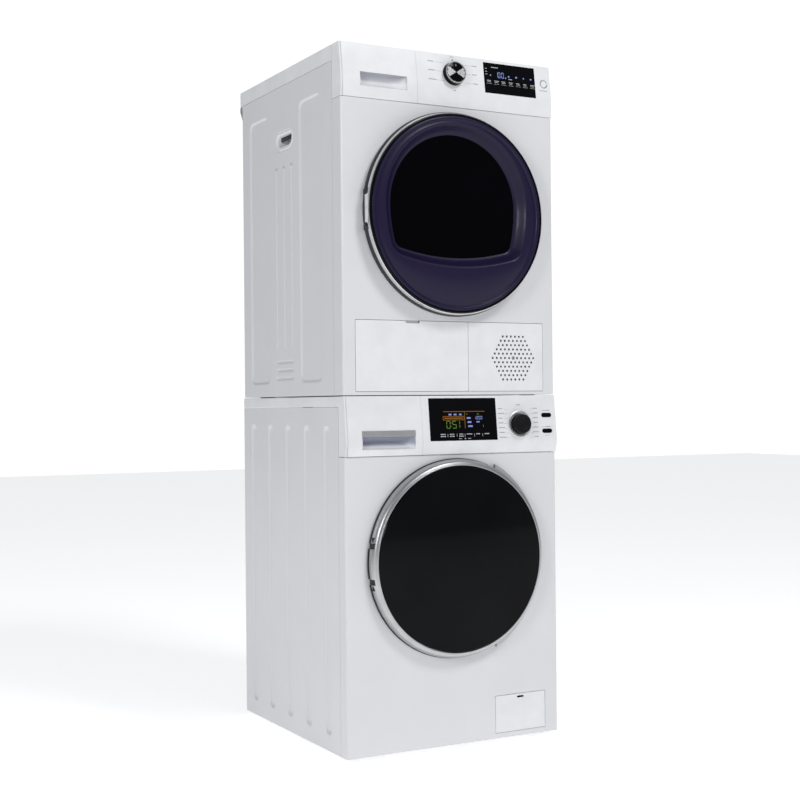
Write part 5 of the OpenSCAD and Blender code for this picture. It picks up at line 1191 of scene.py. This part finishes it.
class LAUNDRY_OT_dryer_door(bpy.types.Operator):
    """Build the dryer's round door with its violet face and black window"""
    bl_idname = "laundry.dryer_door"
    bl_label = "Dryer Door"

    def execute(self, context):
        z = DRYER_DOOR_Z
        self.face(z)
        # A black ring at the violet face's outer rim, where the rim turns away from the light: painted shade
        turned("dryer_door_rim", 0, z, [
            (235.6, -31.0), (236.6, -32.6), (238.2, -33.0), (240.0, -32.2), (241.0, -30.4), (241.2, -27.6),
            (239.0, -26.8), (235.6, -27.6)], "black_gloss", "dryer_door", steps=192)
        band = turned("dryer_door_band", 0, z, [
            (239.6, -27.4), (242.0, -28.4), (243.4, -27.6), (245.0, -22.6), (245.6, -19.6), (245.4, -18.4),
            (239.6, -18.0)], "chrome_band", "dryer_door", ("dryer_door_frame",), steps=192)
        carve(band, ear_rooms(DRYER_HINGE, z))
        rear = turned("dryer_door_back", 0, z, [
            (238.0, -13.4), (247.0, -13.6), (248.1, -11.8), (248.4, -8.0), (247.6, -4.6), (245.0, -1.2), (240.5, 0.2),
            (188, 0.4), (184, 8.4), (168, 51.8), (141, 55.6), (0, 56.2), (0, 53.2), (139, 52.8), (165.5, 49.0),
            (181, 7.6), (183, -3.4), (238.0, -3.6)],
            "grey_plastic", "dryer_door", closed=False, steps=160)
        carve(rear, ear_rooms(DRYER_HINGE, z))
        ring = turned("dryer_door_seal", 0, z, [
            (236.4, -18.2), (245.9, -18.9), (247.4, -16.0), (248.4, -11.0), (248.4, -6.8), (247.7, -5.2),
            (245.8, -6.0), (236.4, -8.0)], "dark_plastic", "dryer_door", steps=192)
        carve(ring, ear_rooms(DRYER_HINGE, z))
        bm = bmesh.new()
        slab(bm, rounded(rectangle(66, 10), 2.0, 3), 0, 3.4, 1.0, 2,
             side_place(-1, -20.5, z, 243.6) @ Matrix.Rotation(math.pi / 2, 4, "Z"))
        finish_piece("dryer_hinge_cover", bm, "grey_plastic", "dryer_door", weighted=True)
        bm = bmesh.new()
        slab(bm, rounded(rectangle(10, 6), 1.2, 3), 0.4, 18, 0.8, 2, front_place(213, 18.4, z))
        finish_piece("dryer_latch_tongue", bm, "steel", "dryer_door")
        return {"FINISHED"}

    def face(self, z):
        """Violet moulding: side wall, raised rim, groove, flat fascia and the sloping frame of the window."""
        outer = window_outline(r=201, lift=19, side_r=350, low=-132, bottom_r=568, corner=44)
        inner = window_outline(r=176, lift=19, side_r=334, low=-107, bottom_r=568, corner=26)
        turns = [math.atan2(b, a) for a, b in outer]

        def ring(r, y):
            return [at(r * math.cos(a), y, z + r * math.sin(a)) for a in turns]

        def frame_step(t, y):
            return [at(a0 + (a1 - a0) * t, y, z + b0 + (b1 - b0) * t) for (a0, b0), (a1, b1) in zip(outer, inner)]

        rim = [(235.0, -9.0), (236.0, -12.0), (236.0, -30.6), (234.6, -32.2), (231.6, -32.9), (228.4, -32.6),
               (226.6, -31.4), (225.6, -29.8), (224.4, -29.2), (223.0, -29.4), (221.9, -30.4)]
        slope = [(-0.02, -31.2), (0.05, -31.0), (0.14, -30.0), (0.24, -27.4), (0.42, -21.4), (0.62, -14.6),
                 (0.8, -9.6), (0.92, -7.4), (1.0, -6.6), (1.06, -6.6)]
        loops = [ring(*step) for step in rim] + [frame_step(*step) for step in slope]
        bm = bmesh.new()
        stacked_loops(bm, loops, cap_last=False)
        piece = finish_piece("dryer_fascia", bm, "violet_plastic", "dryer_door",
                             ("dryer_door_face",), sharp=math.radians(60))
        self.point_out(piece)
        wall = piece.modifiers.new("wall", "SOLIDIFY")
        wall.thickness = 0.0022
        wall.offset = -1
        bm = bmesh.new()
        pane = window_outline(r=178, lift=19, side_r=338, low=-109, bottom_r=568, corner=27)
        slab(bm, pane, -3.4, 0, 0.0, 1, front_place(0, -6.2, z))
        finish_piece("dryer_window", bm, "window_black", "dryer_door", weighted=True)

    def point_out(self, piece):
        """Turns the open moulding's faces to the front."""
        mesh = piece.data
        if sum(p.normal.y * p.area for p in mesh.polygons) > 0:
            mesh.flip_normals()


# ---------- flaps, grille and small parts ----------

class LAUNDRY_OT_flaps(bpy.types.Operator):
    """Finish the pump flap, the filter flap and the vent panel with its grille"""
    bl_idname = "laundry.flaps"
    bl_label = "Flaps and Grille"

    def execute(self, context):
        for node in ("washer_pump_flap", "dryer_filter_flap"):
            softened(node, "white_plastic", 0.45, 2)
        low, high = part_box("dryer_filter_flap")
        bm = bmesh.new()
        slab(bm, rectangle(36, 9, (low.x + high.x) * 500, high.z * 1000 - 1.0), -6.0, -4.4, 0, 1,
             front_place(0, low.y * 1000 - FRONT, 0))
        finish_piece("dryer_flap_catch", bm, "grey_plastic", "cabinets")
        self.grille(context.scene.laundry_sizes.hole)
        return {"FINISHED"}

    def grille(self, hole):
        """The vent panel with a hexagon of holes round one closed cell."""
        low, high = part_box("dryer_vent_panel")
        x0, x1 = low.x * 1000, high.x * 1000
        z0, z1 = low.z * 1000, high.z * 1000
        y = low.y * 1000 - FRONT
        cx, cz, dx, dz = 176.0, 952.0, 12.0, 10.7
        spots = [(cx + (i - (10 - abs(k)) / 2) * dx, cz + k * dz) for k in range(-5, 6) for i in range(11 - abs(k))]
        bm = bmesh.new()
        for x, z in spots:
            cell = [(x - dx / 2, z - dz / 2), (x, z - dz / 2), (x + dx / 2, z - dz / 2),
                    (x + dx / 2, z + dz / 2), (x, z + dz / 2), (x - dx / 2, z + dz / 2)]
            verts, edges = loop_of(bm, [Vector((a, b, 0)) for a, b in cell])
            if (x, z) == (cx, cz):
                bm.faces.new(verts)
                continue
            _, mouth = loop_of(bm, [Vector((a, b, 0)) for a, b in circle_points(hole, 12, x, z)])
            bmesh.ops.bridge_loops(bm, edges=edges + mouth)
        bmesh.ops.remove_doubles(bm, verts=bm.verts[:], dist=0.01)
        rim = [e for e in bm.edges if e.is_boundary
               and all(min(math.hypot(v.co.x - x, v.co.y - z) for x, z in spots) > hole + 0.5 for v in e.verts)]
        corners = rounded([(x0, z0), (x1, z0), (x1, z1), (x0, z1)], 2.0, 4)
        _, outer = loop_of(bm, [Vector((a, b, 0)) for a, b in corners])
        bmesh.ops.triangle_fill(bm, use_beauty=True, use_dissolve=False, edges=rim + outer)
        for f in bm.faces:
            f.normal_update()
            if f.normal.z < 0:
                f.normal_flip()
        bmesh.ops.transform(bm, matrix=front_place(0, y, 0), verts=bm.verts[:])
        panel = finish_piece("dryer_grille", bm, "white_plastic", "cabinets", ("dryer_vent_panel",),
                             recalculate=False)
        panel.data.shade_flat()
        wall = panel.modifiers.new("wall", "SOLIDIFY")
        wall.thickness = 0.0025
        wall.offset = -1


KEPT = {
    "washer_base": "zinc_sheet", "washer_feet": "rubber_black", "washer_rear_panel": "zinc_sheet",
    "washer_drawer": "grey_plastic", "washer_drawer_housing": "grey_plastic", "washer_door_bowl": "bowl_glass",
    "washer_door_hinge": "dark_plastic", "washer_door_catch": "steel", "washer_door_lock": "dark_plastic",
    "washer_tub": "grey_plastic", "washer_drum": "washer_drum_steel", "washer_drum_shaft": "cast_alloy",
    "washer_bearings": "steel", "washer_drum_pulley": "cast_alloy", "washer_belt": "rubber_black",
    "washer_motor": "motor_metal", "washer_motor_pulley": "steel", "washer_counterweights": "ballast",
    "washer_suspension": "steel", "washer_drain_pump": "dark_plastic", "washer_pump_filter": "grey_plastic",
    "washer_inlet_valve": "white_plastic", "cord_glands": "dark_plastic", "stacking_kit": "zinc_sheet",
    "case_screws": "steel", "dryer_base": "base_plastic", "dryer_rear_panel": "zinc_sheet",
    "dryer_door_hinge": "dark_plastic", "dryer_bulkhead": "grey_plastic", "dryer_lint_filter": "lint_screen",
    "dryer_drum": "stainless", "dryer_belt": "rubber_black", "dryer_motor": "motor_metal",
    "dryer_fan": "dark_plastic", "dryer_condenser": "cast_alloy",
}


class LAUNDRY_OT_finishes(bpy.types.Operator):
    """Make every finish and paint the parts whose shape stays"""
    bl_idname = "laundry.finishes"
    bl_label = "Finishes"

    def execute(self, context):
        make_finishes(context.scene.laundry_tones)
        for node, coat in KEPT.items():
            paint(node, coat)
        return {"FINISHED"}


# ---------- studio ----------

class LAUNDRY_OT_stage(bpy.types.Operator):
    """Set up the pale floor, the soft lights, the room and the camera"""
    bl_idname = "laundry.stage"
    bl_label = "Stage"

    def execute(self, context):
        light = context.scene.laundry_light
        bm = bmesh.new()
        bmesh.ops.create_grid(bm, x_segments=4, y_segments=4, size=14)
        mesh = bpy.data.meshes.new("floor")
        bm.to_mesh(mesh)
        bm.free()
        floor = bpy.data.objects.new("floor", mesh)
        context.scene.collection.objects.link(floor)
        coat = new_finish("floor_paper", (0.9, 0.9, 0.9), 0.9, specular=0.0)
        vary_colour(coat, grain(coat, 0.6, 2.0), (0.92, 0.92, 0.92), (0.94, 0.94, 0.94))
        shader_of(coat).inputs["Emission Color"].default_value = (1.0, 1.0, 1.0, 1.0)
        shader_of(coat).inputs["Emission Strength"].default_value = FLOOR_GLOW
        mesh.materials.append(coat)
        self.room(context.scene, light.room)
        for key, (spot, target, size) in LAMPS.items():
            self.lamp(key + "_light", spot, target, size, getattr(light, key))
        self.camera(context.scene)
        return {"FINISHED"}

    def room(self, scene, strength):
        """Even light on the object, and white where the camera sees past the floor."""
        world = bpy.data.worlds.new("room")
        scene.world = world
        world.use_nodes = True
        tree = world.node_tree
        even = tree.nodes["Background"]
        even.inputs["Color"].default_value = (0.93, 0.96, 1.0, 1.0)
        even.inputs["Strength"].default_value = strength
        seen = tree.nodes.new("ShaderNodeBackground")
        seen.inputs["Color"].default_value = (1.0, 1.0, 1.0, 1.0)
        seen.inputs["Strength"].default_value = 1.05
        path = tree.nodes.new("ShaderNodeLightPath")
        mix = tree.nodes.new("ShaderNodeMixShader")
        tree.links.new(path.outputs["Is Camera Ray"], mix.inputs[0])
        tree.links.new(even.outputs[0], mix.inputs[1])
        tree.links.new(seen.outputs[0], mix.inputs[2])
        tree.links.new(mix.outputs[0], tree.nodes["World Output"].inputs["Surface"])
        scene.view_settings.view_transform = "Standard"

    def lamp(self, name, spot, target, size, power):
        data = bpy.data.lights.new(name, "AREA")
        data.shape = "RECTANGLE"
        data.size = size
        data.size_y = size
        data.energy = power
        lamp = bpy.data.objects.new(name, data)
        lamp.location = spot
        lamp.rotation_euler = (Vector(target) - Vector(spot)).to_track_quat("-Z", "Y").to_euler()
        bpy.context.scene.collection.objects.link(lamp)

    def camera(self, scene):
        data = bpy.data.cameras.new("camera")
        data.lens = CAMERA_LENS
        data.sensor_width = 36.0
        data.clip_end = 100.0
        camera = bpy.data.objects.new("camera", data)
        yaw, pitch, roll = (math.radians(turn) for turn in CAMERA_TURNS)
        ahead = Vector((math.sin(yaw) * math.cos(pitch), math.cos(yaw) * math.cos(pitch), math.sin(pitch)))
        right = Vector((math.cos(yaw), -math.sin(yaw), 0))
        up = right.cross(ahead)
        x_axis = right * math.cos(roll) + up * math.sin(roll)
        y_axis = up * math.cos(roll) - right * math.sin(roll)
        turn = Matrix((x_axis, y_axis, -ahead)).transposed().to_4x4()
        camera.matrix_world = Matrix.Translation(CAMERA_SPOT) @ turn
        scene.collection.objects.link(camera)
        scene.camera = camera


ORDER = (LAUNDRY_OT_finishes, LAUNDRY_OT_stage, LAUNDRY_OT_washer_sides, LAUNDRY_OT_dryer_sides, LAUNDRY_OT_fronts,
         LAUNDRY_OT_washer_controls, LAUNDRY_OT_dryer_controls, LAUNDRY_OT_drawers, LAUNDRY_OT_washer_door,
         LAUNDRY_OT_dryer_door, LAUNDRY_OT_flaps)


class LAUNDRY_PT_panel(bpy.types.Panel):
    """Buttons for every group of pieces, with the sizes and colours"""
    bl_label = "Laundry Pair"
    bl_idname = "LAUNDRY_PT_panel"
    bl_space_type = "VIEW_3D"
    bl_region_type = "UI"
    bl_category = "Laundry"

    def draw(self, context):
        for group in ("laundry_tones", "laundry_sizes", "laundry_light"):
            settings = getattr(context.scene, group)
            for key in settings.bl_rna.properties.keys():
                if key not in ("rna_type", "name"):
                    self.layout.prop(settings, key)
        for step in ORDER:
            self.layout.operator(step.bl_idname)


CLASSES = (LaundryTones, LaundrySizes, LaundryLight, *ORDER, LAUNDRY_PT_panel)


def register():
    for cls in CLASSES:
        bpy.utils.register_class(cls)
    bpy.types.Scene.laundry_tones = bpy.props.PointerProperty(type=LaundryTones)
    bpy.types.Scene.laundry_sizes = bpy.props.PointerProperty(type=LaundrySizes)
    bpy.types.Scene.laundry_light = bpy.props.PointerProperty(type=LaundryLight)


def unregister():
    del bpy.types.Scene.laundry_tones
    del bpy.types.Scene.laundry_sizes
    del bpy.types.Scene.laundry_light
    for cls in reversed(CLASSES):
        bpy.utils.unregister_class(cls)


def main():
    register()
    for step in ORDER:
        group, name = step.bl_idname.split(".")
        getattr(getattr(bpy.ops, group), name)()


if __name__ == "__main__":
    main()
